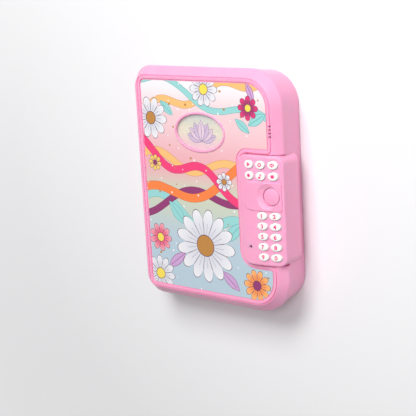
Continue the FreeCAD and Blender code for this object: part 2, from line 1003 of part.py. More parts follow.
def plateau_solid(inset, z0, top_inset):
    """The speaker hood's plan, smaller by an inset, up to its top less another inset."""
    radii = (plateau_corner, plateau_corner, plateau_far_corner, plateau_corner)
    right = plateau_left + plateau_width
    outline = rectangle(plateau_left, right, plateau_bottom, plateau_bottom + plateau_height, radii)
    return prism(grown(outline, -inset), z0, base_height + plateau_rise - top_inset)


def grille_cuts():
    """The slots over the speaker."""
    half_length = grille_slot_length / 2
    half_width = grille_slot_width / 2
    first = speaker_y - grille_pitch * (grille_slots - 1) / 2
    left = speaker_x - half_length
    right = speaker_x + half_length
    top = base_height + plateau_rise + overrun
    return [
        box(left, right, y - half_width, y + half_width, base_height, top)
        for y in stepped(first, grille_pitch, grille_slots)
    ]


def arm_opening():
    """The opening in the deck that the latch arm swings along."""
    half = arm_width / 2 + bolt_clearance
    left = block_left + arm_from_block - bolt_travel - bolt_clearance
    right = block_left + arm_from_block + arm_thickness + bolt_clearance
    return box(left, right, button_y - half, button_y + half, deck_under - overrun, base_height + overrun)


def keypad_housing():
    """The key block's shell: arched top, raised band with a dish, side apron, key holes and posts."""
    outline = block_outline()
    shell = top_rounded(arched_block(outline, block_apron_foot, 0), block_edge_round)
    shell = shell.makeChamfer(block_foot_chamfer, edges_at(shell, block_apron_foot))
    shell = fused(shell, [band_solid()])
    posts = [upright(post_radius, x, y, base_height, roof_under) for x, y in post_places()]
    bosses = [upright(boss_radius, x, y, board_top, roof_under) for x, y in boss_places()]
    hollow = prism(grown(outline, -block_wall), base_height, roof_under)
    shell = shell.cut(without(hollow, posts + bosses))
    below = loft([
        (grown(base_outline(0), block_apron_clearance), 0),
        (grown(base_outline(base_height), block_apron_clearance), base_height),
    ])
    return without(shell, [below, dish_ball()] + housing_holes())


def band_solid():
    """The raised band that carries the large button, round at its left end."""
    low = button_y - band_height / 2 + band_lift
    radii = (band_corner, block_edge_round, block_edge_round, band_corner)
    right = block_right - block_edge_round
    outline = rectangle(block_left + band_left_margin, right, low, low + band_height, radii)
    return top_rounded(arched_block(outline, roof_under, band_rise), band_round)


def button_seat():
    """The place on the band's top that the large button is centred on."""
    return Vector(button_x, button_y, crown_height(button_x) + band_rise)


def button_axis():
    """The direction that the dish and the large button's dome face, leaning to the right."""
    lean = math.radians(button_lean)
    return Vector(math.sin(lean), 0, math.cos(lean))


def dish_ball():
    """The large ball that scoops the dish round the button."""
    radius = (dish_radius ** 2 + dish_depth ** 2) / (2 * dish_depth)
    return Part.makeSphere(radius, button_seat() + button_axis() * (radius - dish_depth))


def housing_holes():
    """The key holes with room for their flanges, the microphone's hole, the bolt's slot and the screws."""
    top = crown + band_rise + overrun
    low = roof_under - overrun
    cuts = []
    for x, y, width, height, gap in key_sizes():
        pocket = 2 * (key_flange + gap)
        cuts.append(oval(x, y, width + 2 * gap, height + 2 * gap, low, top))
        cuts.append(oval(x, y, width + pocket, height + pocket, mat_top, roof_under))
    cuts.append(upright(mic_hole_radius, mic_x, mic_y, low, top))
    cuts.append(upright(mic_radius + mat_clearance, mic_x, mic_y, low, crown_height(mic_x) - mic_cover))
    cuts.append(bolt_slot(block_left - overrun, block_left + block_wall + overrun))
    bore = screw_radius + screw_fit
    for x, y in post_places():
        cuts.append(upright(bore, x, y, base_height - overrun, base_height + post_screw_reach))
    for x, y in boss_places():
        cuts.append(upright(bore, x, y, board_top - overrun, board_top + board_screw_reach))
    return cuts


def housing_screws():
    """The screws from under the deck into the key block's posts."""
    screws = []
    for x, y in post_places():
        head = upright(screw_head_radius, x, y, deck_under - screw_head_height, deck_under)
        shank = upright(screw_radius, x, y, deck_under - screw_head_height, base_height + post_screw_reach)
        screws.append(fused(head, [shank]))
    return Part.makeCompound(screws)


def board_outline():
    """The circuit board and the key mat seen from above."""
    return grown(block_outline(), -block_wall - board_clearance)


def key_mat():
    """The rubber mat with a low dome under every key."""
    mat = prism(board_outline(), board_top, mat_top)
    domes = [upright(mat_dome_radius, x, y, board_top, mat_top + mat_dome_rise) for x, y, *_ in key_sizes()]
    mat = fused(mat, domes)
    top = mat_top + overrun
    cuts = [upright(post_radius + mat_clearance, x, y, board_under, top) for x, y in post_places()]
    for x, y in boss_places():
        cuts.append(upright(boss_radius + dome_clearance, x, y, board_under, top))
    cuts.append(upright(mic_radius + mat_clearance, mic_x, mic_y, board_under, top))
    return without(mat, cuts)


def circuit_board():
    """The board under the key mat, with holes for the posts and screws."""
    board = prism(board_outline(), board_under, board_top)
    low = board_under - overrun
    high = board_top + overrun
    cuts = [upright(post_radius + mat_clearance, x, y, low, high) for x, y in post_places()]
    for x, y in boss_places():
        cuts.append(upright(screw_radius + screw_fit, x, y, low, high))
    return without(board, cuts)


def board_screws():
    """The screws from under the board into the roof's bosses."""
    screws = []
    for x, y in boss_places():
        head = upright(screw_head_radius, x, y, board_under - screw_head_height, board_under)
        shank = upright(screw_radius, x, y, board_under - screw_head_height, board_top + board_screw_reach)
        screws.append(fused(head, [shank]))
    return Part.makeCompound(screws)


def control_chip():
    """The sound and lock controller under the board."""
    half = chip_size / 2
    x = digit_x
    y = digit_y - digit_pitch_y
    return box(x - half, x + half, y - half, y + half, board_under - chip_thickness, board_under)


def microphone():
    """The round microphone capsule on the board, tall enough to reach up behind its hole."""
    return upright(mic_radius, mic_x, mic_y, board_top, crown_height(mic_x) - mic_cover - mic_clearance)


def speaker_basket():
    """The speaker's rim, frame and magnet, held up under the hood."""
    top = base_height + plateau_rise - tray_wall
    low = top - speaker_depth
    frame = upright(speaker_radius, speaker_x, speaker_y, low, top)
    magnet = upright(magnet_radius, speaker_x, speaker_y, low - magnet_depth, low)
    return fused(frame, [magnet]).cut(speaker_bowl())


def speaker_bowl():
    """The cone-shaped hollow of the speaker."""
    top = base_height + plateau_rise - tray_wall
    wide = speaker_radius - speaker_rim
    narrow = magnet_radius - speaker_rim
    depth = speaker_cone_depth
    return Part.makeCone(narrow, wide, depth, Vector(speaker_x, speaker_y, top - depth), Vector(0, 0, 1))


def speaker_cone():
    """The paper cone: a thin dish in the frame's hollow."""
    sunk = speaker_bowl()
    scoop = speaker_bowl()
    scoop.translate(Vector(0, 0, speaker_seat))
    return sunk.cut(scoop)


def latch_bolt():
    """The flat bolt, its arm down through the deck and the plunger in the coil, drawn back."""
    left = block_left + bolt_setback
    arm_left = block_left + arm_from_block
    arm_right = arm_left + arm_thickness
    half_bolt = bolt_width / 2
    half_height = bolt_height / 2
    blade = box(
        left,
        arm_right,
        button_y - half_bolt,
        button_y + half_bolt,
        latch_level - half_height,
        latch_level + half_height,
    )
    half_arm = arm_width / 2
    low = solenoid_level - plunger_radius
    arm = box(arm_left, arm_right, button_y - half_arm, button_y + half_arm, low, latch_level)
    plunger = crosswise(plunger_radius, button_y, solenoid_level, arm_left, arm_right + plunger_length)
    return fused(blade, [arm, plunger])


def solenoid_left():
    """The left face of the solenoid's frame."""
    return block_left + arm_from_block + arm_thickness + solenoid_from_arm


def plunger_bore(left, right):
    """The bore that clears the plunger right through a piece between two places across the cover."""
    radius = plunger_radius + plunger_clearance
    return crosswise(radius, button_y, solenoid_level, left - overrun, right + overrun)


def solenoid_frame():
    """The bent steel frame that hangs under the deck and holds the coil."""
    left = solenoid_left()
    right = left + coil_length + 2 * solenoid_plate
    half = solenoid_width / 2
    low = deck_under - solenoid_height
    top = box(left, right, button_y - half, button_y + half, deck_under - solenoid_plate, deck_under)
    near = box(left, left + solenoid_plate, button_y - half, button_y + half, low, deck_under)
    far = box(right - solenoid_plate, right, button_y - half, button_y + half, low, deck_under)
    return fused(top, [near, far]).cut(plunger_bore(left, right))


def solenoid_coil():
    """The wound coil between the frame's ends."""
    left = solenoid_left() + solenoid_plate
    coil = crosswise(coil_radius, button_y, solenoid_level, left, left + coil_length)
    return coil.cut(plunger_bore(left, left + coil_length))


def latch_spring():
    """The return spring round the plunger, pressed between the arm and the frame."""
    left = block_left + arm_from_block + arm_thickness
    right = solenoid_left()
    spring = crosswise(latch_spring_radius, button_y, solenoid_level, left + latch_spring_clearance, right)
    return spring.cut(plunger_bore(left, right))


def notebook_box(inset_x0, inset_x1, inset_y, z0, z1, radii):
    """The notebook's plan, inset on its spine side, its fore edge and its head and tail."""
    left = well_left + notebook_clearance
    low = well_bottom + notebook_clearance
    outline = rectangle(
        left + inset_x0,
        left + notebook_width - inset_x1,
        low + inset_y,
        low + notebook_height - inset_y,
        radii,
    )
    return prism(outline, z0, z1)


def notebook_cover():
    """The notebook's case: back board, spine and front board in one wrap."""
    radii = (notebook_board, notebook_corner, notebook_corner, notebook_board)
    wrap = notebook_box(0, 0, 0, well_floor, notebook_top, radii)
    low = well_floor + notebook_board
    high = notebook_top - notebook_board
    return wrap.cut(notebook_box(notebook_board, -overrun, -overrun, low, high, radii))


def notebook_pages():
    """The block of pages between the boards."""
    radii = (notebook_board, notebook_corner, notebook_corner, notebook_board)
    low = well_floor + notebook_board
    high = notebook_top - notebook_board
    return notebook_box(notebook_board, notebook_overhang, notebook_overhang, low, high, radii)


def marker_ends():
    """The two ends of the marker in its trough."""
    left = trough_span()[0] + marker_end_clearance
    return left, left + marker_length


def end_rounded(bar, x):
    """A round bar along X with its edge at one end rounded."""
    near = [e for e in bar.Edges if abs(e.BoundBox.XMax - x) < marker_end_round]
    return bar.makeFillet(marker_end_round, [e for e in near if e.BoundBox.XLength < marker_end_round])


def marker_barrel():
    """The marker's barrel, with a thinner neck inside the cap."""
    left, right = marker_ends()
    cap_left = right - marker_cap_length
    neck = marker_radius - marker_cap_wall
    barrel = end_rounded(crosswise(marker_radius, trough_y, trough_level, left, cap_left), left)
    return fused(barrel, [crosswise(neck, trough_y, trough_level, cap_left, cap_left + marker_cap_overlap)])


def marker_cap():
    """The marker's cap, with a clip along its top."""
    left, right = marker_ends()
    cap_left = right - marker_cap_length
    neck = marker_radius - marker_cap_wall
    cap = end_rounded(crosswise(marker_radius, trough_y, trough_level, cap_left, right), right)
    half = clip_width / 2
    clip_right = right - marker_end_round
    top = trough_level + marker_radius
    clip_left = clip_right - clip_length
    low = trough_level + neck
    clip = box(clip_left, clip_right, trough_y - half, trough_y + half, low, top + clip_thickness)
    socket = crosswise(neck, trough_y, trough_level, cap_left - overrun, cap_left + marker_cap_overlap)
    return fused(cap, [clip]).cut(socket)


def flanged(cap, x, y, width, height):
    """A key's cap on a flange that stays under the roof."""
    flange = oval(x, y, width + 2 * key_flange, height + 2 * key_flange, flange_under, flange_top)
    return fused(cap, [flange])


def key(x, y, width, height):
    """A key with a top that follows the block's arch and has a rounded edge."""
    bar = oval(x, y, width, height, flange_under, crown + key_proud + overrun)
    cap = top_rounded(bar.common(arched_bar(flange_under, key_proud)), key_top_round)
    return flanged(cap, x, y, width, height)


def open_button():
    """The large round button in its dish, with a low domed top that leans like the block's arch."""
    radius = button_diameter / 2
    ball_radius = (radius ** 2 + button_dome ** 2) / (2 * button_dome)
    ball = Part.makeSphere(ball_radius, button_seat() - button_axis() * (button_sink + ball_radius))
    bar = upright(radius, button_x, button_y, flange_under, crown + overrun)
    cap = top_rounded(bar.common(ball), button_edge_round)
    return flanged(cap, button_x, button_y, button_diameter, button_diameter)


function_names = ("play", "loop", "voice", "record", "music", "light")
digit_names = ("1", "2", "3", "4", "5", "6", "7", "8", "9", "0")

nodes = {
    "base_shell": base_shell(),
    "tray": tray(),
    "keypad_housing": keypad_housing(),
    "key_mat": key_mat(),
    "circuit_board": circuit_board(),
    "control_chip": control_chip(),
    "microphone": microphone(),
    "speaker_basket": speaker_basket(),
    "speaker_cone": speaker_cone(),
    "solenoid_frame": solenoid_frame(),
    "solenoid_coil": solenoid_coil(),
    "latch_spring": latch_spring(),
    "latch_bolt": latch_bolt(),
    "batteries": batteries(),
    "contact_plates": contact_plates(),
    "contact_springs": contact_springs(),
    "battery_door": battery_door(),
    "door_screw": door_screw(),
    "case_screws": case_screws(),
    "housing_screws": housing_screws(),
    "board_screws": board_screws(),
    "hinge_pins": hinge_pins(),
    "notebook_cover": notebook_cover(),
    "notebook_pages": notebook_pages(),
    "marker_barrel": marker_barrel(),
    "marker_cap": marker_cap(),
    "lid_frame": lid_frame(),
    "cover_panel": cover_panel(),
    "window_bezel": window_bezel(),
    "window_lens": window_lens(),
    "strike_plate": strike_plate(),
    "open_button": open_button(),
}
for name, (x, y) in zip(function_names, function_places()):
    nodes["key_" + name] = key(x, y, function_width, function_height)
for name, (x, y) in zip(digit_names, digit_places()):
    nodes["key_" + name] = key(x, y, digit_width, digit_height)

os.makedirs("parts", exist_ok=True)
for name, shape in nodes.items():
    shape.exportStep("parts/" + name + ".step")
    print(name, len(shape.Solids), round(shape.Volume, 1), shape.isValid())
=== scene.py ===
import logging
import math
from abc import ABC, abstractmethod
from dataclasses import dataclass, replace
from enum import Enum
from functools import partialmethod, reduce
from operator import add
from typing import Callable, NamedTuple, Sequence, Union

import bmesh
import bpy
import numpy as np
from mathutils import Matrix, Vector


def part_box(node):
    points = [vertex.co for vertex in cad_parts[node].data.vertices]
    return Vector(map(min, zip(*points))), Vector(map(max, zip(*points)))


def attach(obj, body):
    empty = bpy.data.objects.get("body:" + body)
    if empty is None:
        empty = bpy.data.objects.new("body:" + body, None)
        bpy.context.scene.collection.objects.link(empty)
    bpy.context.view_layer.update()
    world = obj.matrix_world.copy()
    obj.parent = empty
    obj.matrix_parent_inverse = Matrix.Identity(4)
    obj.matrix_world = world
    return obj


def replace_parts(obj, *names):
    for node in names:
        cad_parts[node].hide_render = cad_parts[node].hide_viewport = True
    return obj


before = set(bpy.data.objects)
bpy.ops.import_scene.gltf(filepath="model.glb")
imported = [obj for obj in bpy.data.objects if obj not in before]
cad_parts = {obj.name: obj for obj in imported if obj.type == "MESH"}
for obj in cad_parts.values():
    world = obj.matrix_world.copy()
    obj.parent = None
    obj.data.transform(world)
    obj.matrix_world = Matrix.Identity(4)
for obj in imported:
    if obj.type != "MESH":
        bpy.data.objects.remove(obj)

LOG = logging.getLogger("diary")
MM = 0.001
FULL_TURN = 2 * math.pi
FINE = 3.0  # layers of detail in a fine grain

Place = tuple[float, float]
Triple = tuple[float, float, float]
Mesh = bpy.types.Mesh
Socket = bpy.types.NodeSocket


class Ink(NamedTuple):
    """A screen colour, each channel from 0 to 255."""

    red: int
    green: int
    blue: int

    def linear(self) -> tuple[float, ...]:
        """The linear colour with full cover that a shader takes, by the standard screen curve."""
        shares = np.array(self) / 255
        return (*np.where(shares <= 0.04045, shares / 12.92, ((shares + 0.055) / 1.055) ** 2.4), 1.0)

    def shaded(self, share: float) -> "Ink":
        """The ink made darker or lighter by a share of itself."""
        return Ink(*(min(255, max(0, round(channel * share))) for channel in self))


class PrintInk(Ink, Enum):
    """The inks of the printed boards."""

    WHITE = 244, 243, 246
    SHADE = 214, 214, 226
    TEAL = 150, 214, 212
    DEEP_TEAL = 84, 170, 172
    PURPLE = 140, 30, 104
    LILAC = 206, 164, 214
    BLUSH = 240, 200, 222
    VIOLET = 122, 62, 142
    PEACH = 253, 192, 118
    ORANGE = 253, 128, 56
    HOT_PINK = 244, 50, 118
    ROSE = 240, 176, 184
    PALE_ROSE = 243, 205, 210
    SAGE = 206, 211, 188
    MIST = 184, 205, 218
    YELLOW = 250, 224, 84
    GOLD = 188, 128, 48
    LINE = 92, 52, 76


Colour = Union[Socket, Ink]
Value = Union["Field", float]
Feed = Union["Field", Colour, float, Sequence[float]]


@dataclass(frozen=True)
class Field:
    """A number that varies over a surface, carried by one socket of a node tree.

    Each step of arithmetic is a maths node. A comparison gives one where it holds, and nought elsewhere.
    """

    nodes: "Nodes"
    socket: Socket

    def calc(self, operation: str, *others: Value) -> "Field":
        """This field worked through one maths step with other fields or numbers."""
        node = self.nodes.node("ShaderNodeMath", self, *others, operation=operation)
        return Field(self.nodes, node.outputs[0])

    __add__ = partialmethod(calc, "ADD")
    __sub__ = partialmethod(calc, "SUBTRACT")
    __mul__ = partialmethod(calc, "MULTIPLY")
    __truediv__ = partialmethod(calc, "DIVIDE")
    __abs__ = partialmethod(calc, "ABSOLUTE")
    below = partialmethod(calc, "LESS_THAN")
    above = partialmethod(calc, "GREATER_THAN")
    most = partialmethod(calc, "MAXIMUM")
    least = partialmethod(calc, "MINIMUM")
    power = partialmethod(calc, "POWER")
    root = partialmethod(calc, "SQRT")
    sine = partialmethod(calc, "SINE")
    cosine = partialmethod(calc, "COSINE")
    angle_from = partialmethod(calc, "ARCTAN2")

    def wave(self, length: float) -> "Field":
        """A sine wave from 0 to 1 along the field."""
        return (self * (FULL_TURN / length)).sine() * 0.5 + 0.5

    def reach(self, other: "Field") -> "Field":
        """The root of the two fields' squares added up."""
        return (self * self + other * other).root()


class Nodes:
    """A node tree under construction."""

    def __init__(self, tree: bpy.types.NodeTree) -> None:
        """Takes a tree and empties it."""
        self.tree = tree
        tree.nodes.clear()

    def feed(self, target: Socket, value: Feed) -> None:
        """Sets an input from a field, another socket, an ink or plain numbers.

        Args:
            target: the input's socket.
            value: what it takes.
        """
        value = value.socket if isinstance(value, Field) else value
        if isinstance(value, Socket):
            self.tree.links.new(value, target)
        else:
            target.default_value = value.linear() if isinstance(value, Ink) else value

    def fill(self, node: bpy.types.Node, **inputs: Feed) -> None:
        """Feeds a node's inputs, by name with underscores for spaces."""
        for name, value in inputs.items():
            self.feed(node.inputs[name.replace("_", " ")], value)

    def node(self, kind: str, *values: Feed, operation: str = "", **inputs: Feed) -> bpy.types.Node:
        """A new node.

        Args:
            kind: the node's type.
            values: what its first inputs take, in order.
            operation: the operation of a maths node.
            inputs: what other inputs take, by name.

        Returns:
            The node.
        """
        made = self.tree.nodes.new(kind)
        if operation:
            made.operation = operation
        for target, value in zip(made.inputs, values):
            self.feed(target, value)
        self.fill(made, **inputs)
        return made

    def background_rays(self) -> Field:
        """One for rays that show a background: to the eye, in reflections and through clear panes."""
        rays, kinds = self.node("ShaderNodeLightPath").outputs, ("Camera", "Glossy", "Transmission")
        return reduce(Field.most, (Field(self, rays[f"Is {kind} Ray"]) for kind in kinds))


class Paint(Nodes):
    """A material under construction, with one call for each kind of step that the finishes use."""

    def __init__(self, name: str) -> None:
        """An empty material with a principled shader.

        Args:
            name: the material's name.
        """
        material = bpy.data.materials.new(name)
        material.use_nodes = True
        super().__init__(material.node_tree)
        self.shader = self.node("ShaderNodeBsdfPrincipled")
        self.node("ShaderNodeOutputMaterial", Surface=self.shader.outputs["BSDF"])

    def set(self, **inputs: Feed) -> None:
        """Feeds the shader's inputs."""
        self.fill(self.shader, **inputs)

    def place(self, stretch: Triple = (1.0, 1.0, 1.0)) -> Socket:
        """The place on the object in millimetres, stretched along each axis for grain that runs one way."""
        place, scale = self.node("ShaderNodeTexCoord").outputs["Object"], [factor / MM for factor in stretch]
        return self.node("ShaderNodeVectorMath", place, scale, operation="MULTIPLY").outputs[0]

    def axes(self, vector: Socket) -> list[Field]:
        """The parts of a vector along X, Y and Z."""
        return [Field(self, part) for part in self.node("ShaderNodeSeparateXYZ", Vector=vector).outputs]

    def noise(self, place: Socket, size: float, detail: float = 2.0) -> Field:
        """Soft noise from 0 to 1, with blotches of a size in millimetres and finer layers of detail."""
        node = self.node("ShaderNodeTexNoise", Vector=place, Scale=1 / size, Detail=detail)
        return Field(self, node.outputs["Fac"])

    def ramp(self, field: Field, stops: Sequence[tuple[float, Ink]]) -> Socket:
        """Colours that run softly into each other along a field from 0 to 1.

        Args:
            field: the field to follow.
            stops: positions and their inks, in order.

        Returns:
            The colour socket.
        """
        node = self.node("ShaderNodeValToRGB", Fac=field)
        node.color_ramp.interpolation = "EASE"
        marks = node.color_ramp.elements
        while len(marks) < len(stops):
            marks.new(1.0)
        for mark, (position, ink) in zip(marks, stops):
            mark.position = position
            mark.color = ink.linear()
        return node.outputs[0]

    def layer(self, under: Colour, mask: Field, over: Colour) -> Socket:
        """One colour laid over another where a mask is one.

        Args:
            under: the colour below.
            mask: how much of the upper colour covers it.
            over: the colour above.

        Returns:
            The colour socket.
        """
        node = self.node("ShaderNodeMix")
        node.data_type = "RGBA"
        # The colour sockets come after the node's sockets for numbers and vectors.
        for index, value in ((0, mask), (6, under), (7, over)):
            self.feed(node.inputs[index], value)
        return node.outputs[2]

    def mottle(self, ink: Ink, field: Field, low: float, high: float) -> None:
        """Gives the shader an ink that runs from one share of itself to another along a field."""
        self.set(Base_Color=self.layer(ink.shaded(low), field, ink.shaded(high)))

    def grain(self, field: Field, depth: float, roughness: Value, spread: float = 0.0) -> None:
        """Raises the surface by a field times a depth in millimetres, and its roughness by the spread."""
        bump = self.node("ShaderNodeBump", Height=field, Distance=depth * MM)
        self.set(Normal=bump.outputs["Normal"], Roughness=field * spread + roughness if spread else roughness)


@dataclass(frozen=True)
class Finish(ABC):
    """A surface finish that is made into a material once and shared by the pieces that wear it."""

    name: str

    @abstractmethod
    def dress(self, paint: Paint) -> None:
        """Builds the finish's nodes."""

    def material(self) -> bpy.types.Material:
        """Makes the finish's material on its first use.

        Returns:
            The material.
        """
        if self.name not in bpy.data.materials:
            self.dress(Paint(self.name))
        return bpy.data.materials[self.name]


@dataclass(frozen=True)
class Moulding(Finish):
    """Moulded plastic: a faint cloudiness in the colour over a fine grain, more or less clear."""

    ink: Ink
    roughness: float = 0.36
    spread: float = 0.1
    cloud: float = 0.02
    cloud_size: float = 34.0
    grain: float = 0.012
    grain_size: float = 0.45
    detail: float = FINE
    index: float = 1.49
    clearness: float = 0.0
    coat: float = 0.0
    coat_roughness: float = 0.12
    glow: float = 0.0
    glow_depth: float = 2.5
    glow_tint: Triple = (1.0, 0.25, 0.45)

    def dress(self, paint: Paint) -> None:
        """Clouds the colour, adds the grain and lets light into the plastic.

        Args:
            paint: the new material.
        """
        place = paint.place()
        paint.set(Base_Color=self.ink, IOR=self.index, Transmission_Weight=self.clearness)
        paint.set(Coat_Weight=self.coat, Coat_Roughness=self.coat_roughness)
        if self.cloud:
            paint.mottle(self.ink, paint.noise(place, self.cloud_size), 1 - self.cloud, 1 + self.cloud)
        fine = paint.noise(place, self.grain_size, self.detail)
        paint.grain(fine, self.grain, self.roughness - self.spread / 2, self.spread)
        if self.glow:
            paint.set(Subsurface_Weight=self.glow, Subsurface_Scale=self.glow_depth * MM)
            paint.set(Subsurface_Radius=self.glow_tint)


@dataclass(frozen=True)
class Patterned(Finish):
    """A finish whose colour, relief and roughness all follow one pattern."""

    ink: Ink
    shares: Place
    relief: float
    roughness: float
    spread: float = 0.0
    metal: float = 0.0

    @abstractmethod
    def pattern(self, paint: Paint) -> Field:
        """The pattern, from 0 to 1."""

    def dress(self, paint: Paint) -> None:
        """Lets the shader follow the pattern.

        Args:
            paint: the new material.
        """
        pattern = self.pattern(paint)
        # For the page edges and the coil the darker share falls in the pattern's valleys: painted shade.
        paint.mottle(self.ink, pattern, *self.shares)
        paint.grain(pattern, self.relief, self.roughness, self.spread)
        paint.set(Metallic=self.metal)


@dataclass(frozen=True)
class PlatedSteel(Patterned):
    """Bright plated steel with fine brushing along one axis."""

    run: Triple = (0.15, 4.0, 4.0)

    def pattern(self, paint: Paint) -> Field:
        """Noise drawn out along the brushing."""
        return paint.noise(paint.place(self.run), 1.0, FINE)


@dataclass(frozen=True)
class CutPages(Patterned):
    """The edge of a stack of pages: fine level lines, a little uneven, with painted shade in the grooves
    between sheets.
    """

    sheet: float = 0.22
    sway: float = 0.66
    sway_size: float = 9.0

    def pattern(self, paint: Paint) -> Field:
        """A wave up the stack, one for each sheet, moved by a slow noise; its low part is both sunk and
        painted darker as shade between sheets.
        """
        place = paint.place()
        return (paint.axes(place)[2] + paint.noise(place, self.sway_size) * self.sway).wave(self.sheet)


@dataclass(frozen=True)
class WoundWire(Patterned):
    """Enamelled copper wire wound close round the X axis, with painted shade in the valleys between turns."""

    wire: float = 0.3

    def pattern(self, paint: Paint) -> Field:
        """A wave along X, one for each turn; its low part is both sunk and painted darker as shade between
        turns.
        """
        return paint.axes(paint.place())[0].wave(self.wire)


@dataclass(frozen=True)
class BoardMask(Patterned):
    """Solder mask over copper tracks that run in two directions."""

    bend: float = 9.0
    bend_size: float = 16.0
    rates: Place = (2.1, 1.7)
    gaps: Place = (0.55, 0.8)

    def pattern(self, paint: Paint) -> Field:
        """Tracks where a sine wave along X or Y, bent by a slow noise, is high.

        Args:
            paint: the new material.

        Returns:
            One on a track, and nought elsewhere.
        """
        place = paint.place()
        bend = paint.noise(place, self.bend_size) * self.bend
        waves = zip(paint.axes(place), self.rates, self.gaps)
        return reduce(Field.most, (((axis + bend) * rate).sine().above(gap) for axis, rate, gap in waves))


@dataclass(frozen=True)
class CellSleeve(Finish):
    """The printed sleeve of small cells: a dark body with a pale band and a bare steel rim at each end."""

    middle: float
    ink: Ink = Ink(40, 104, 78)
    band: Ink = Ink(226, 214, 170)
    band_start: float = 15.0
    rim: Ink = Ink(200, 200, 204)
    rim_start: float = 21.3
    skin: float = 0.01
    skin_size: float = 1.2
    roughness: float = 0.28
    spread: float = 0.1
    spread_size: float = 2.0

    def dress(self, paint: Paint) -> None:
        """Prints the bands, bares the rims and adds the sleeve's faint unevenness.

        Args:
            paint: the new material.
        """
        place = paint.place()
        away = abs(paint.axes(place)[1] - self.middle)
        banded = paint.layer(self.ink, away.above(self.band_start), self.band)
        paint.set(Base_Color=paint.layer(banded, away.above(self.rim_start), self.rim))
        rough = paint.noise(place, self.spread_size) * self.spread + self.roughness
        paint.grain(paint.noise(place, self.skin_size), self.skin, rough)


@dataclass(frozen=True)
class FloorPaint(Finish):
    """A plain pale studio floor with a trace of unevenness, which runs out to white far from the diary."""

    inks: tuple[Ink, Ink] = (Ink(242, 242, 244), Ink(246, 246, 247))
    white: Ink = Ink(248, 248, 249)
    cloud_size: float = 400.0
    near: float = 300.0
    far: float = 900.0
    roughness: float = 0.8

    def dress(self, paint: Paint) -> None:
        """Paints the floor, and far off lets the eye, mirrors and the pane see plain white.

        Args:
            paint: the new material.
        """
        place = paint.place()
        x, y, _ = paint.axes(place)
        away = (x.reach(y) - self.near) / (self.far - self.near)
        white = away.most(0.0).least(1.0) * paint.background_rays()
        pale = paint.layer(self.inks[0], paint.noise(place, self.cloud_size), self.inks[1])
        paint.set(Base_Color=paint.layer(pale, white, Ink(0, 0, 0)), Roughness=self.roughness)
        paint.set(Emission_Color=self.white, Emission_Strength=white)


@dataclass
class Sheet:
    """A print being drawn: the place on it in millimetres, and its colour so far."""

    paint: Paint
    x: Field
    y: Field
    colour: Colour

    def lay(self, mask: Field, colour: Colour) -> None:
        """Lays a colour where a mask is one."""
        self.colour = self.paint.layer(self.colour, mask, colour)

    def about(self, middle: Place) -> tuple[Field, Field]:
        """The place across and up from a shape's middle."""
        return self.x - middle[0], self.y - middle[1]


class Shape(ABC):
    """A crisp inked shape of a print."""

    @abstractmethod
    def draw(self, sheet: Sheet) -> None:
        """Draws the shape over what is on the sheet."""


@dataclass(frozen=True)
class Daisy(Shape):
    """One printed flower: petals round an eye, with an inked outline and veins."""

    middle: Place
    radius: float
    petals: int
    petal: Ink
    shade: Ink
    eye: Ink
    turn: float = 0.0
    notch: float = 0.58
    fade: float = 1.6
    eye_share: float = 0.28
    vein_share: float = 0.62
    pen: float = 0.45
    pen_share: float = 0.008
    rib_pens: float = 5.0
    vein_pens: float = 2.0

    def draw(self, sheet: Sheet) -> None:
        """Draws the petals, then the eye.

        A petal's edge lies at the radius times a share that falls to the notch between petals.

        Args:
            sheet: the print.
        """
        across, up = sheet.about(self.middle)
        reach = across.reach(up)
        angle = up.angle_from(across) * (self.petals / 2) + self.turn
        lobe = abs(angle.cosine())
        edge = lobe.power(0.5) * (self.radius * (1 - self.notch)) + self.radius * self.notch
        line = self.pen + self.radius * self.pen_share
        rib = lobe.below(line * self.rib_pens / self.radius)
        vein = abs(angle.sine()).below(line * self.vein_pens / self.radius)
        vein *= reach.below(self.radius * self.vein_share)
        petal = sheet.paint.layer(self.shade, (reach / self.radius).power(self.fade), self.petal)
        petal = sheet.paint.layer(petal, rib.most(vein), PrintInk.LINE)
        eye = self.radius * self.eye_share
        limits = (edge, edge - line, eye + line, eye)
        for limit, colour in zip(limits, (PrintInk.LINE, petal, PrintInk.LINE, self.eye)):
            sheet.lay(reach.below(limit), colour)


@dataclass(frozen=True)
class Leaf(Shape):
    """One printed leaf or petal: a pointed oval with a midrib and an inked outline."""

    middle: Place
    length: float
    width: float
    turn: float
    ink: Ink
    line: Ink
    pen: float = 0.5
    rib_end: float = 0.7

    def draw(self, sheet: Sheet) -> None:
        """Draws the leaf. Its half width is its width times one less the square of the place along it.

        Args:
            sheet: the print.
        """
        cos, sin = math.cos(self.turn), math.sin(self.turn)
        across, up = sheet.about(self.middle)
        along = (across * cos + up * sin) / (self.length / 2)
        beside = abs(up * cos - across * sin) / (self.width / 2)
        room = along * along * -1.0 + 1.0 - beside
        inside = room.above(2 * self.pen / self.width)
        rib = beside.below(self.pen / self.width) * along.below(self.rib_end)
        sheet.lay(room.above(0.0), self.line)
        sheet.lay(inside, self.ink)
        sheet.lay(rib * inside, self.line)


@dataclass(frozen=True)
class Streamer(Shape):
    """One wavy paper streamer across the print, with a darker edge."""

    level: float
    swing: float
    wave: float
    shift: float
    slope: float
    width: float
    ink: Ink
    edge: float = 0.45
    edge_share: float = 0.8

    def draw(self, sheet: Sheet) -> None:
        """Draws the streamer. Its middle is a level plus a slope and a sine wave; width is square to it.

        Args:
            sheet: the print.
        """
        rate = FULL_TURN / self.wave
        phase = (sheet.x - self.shift) * rate
        middle = phase.sine() * self.swing + sheet.x * self.slope + self.level
        lean = phase.cosine() * (self.swing * rate) + self.slope
        away = abs(sheet.y - middle) / (lean * lean + 1.0).root()
        sheet.lay(away.below(self.width / 2), self.ink.shaded(self.edge_share))
        sheet.lay(away.below(self.width / 2 - self.edge), self.ink)


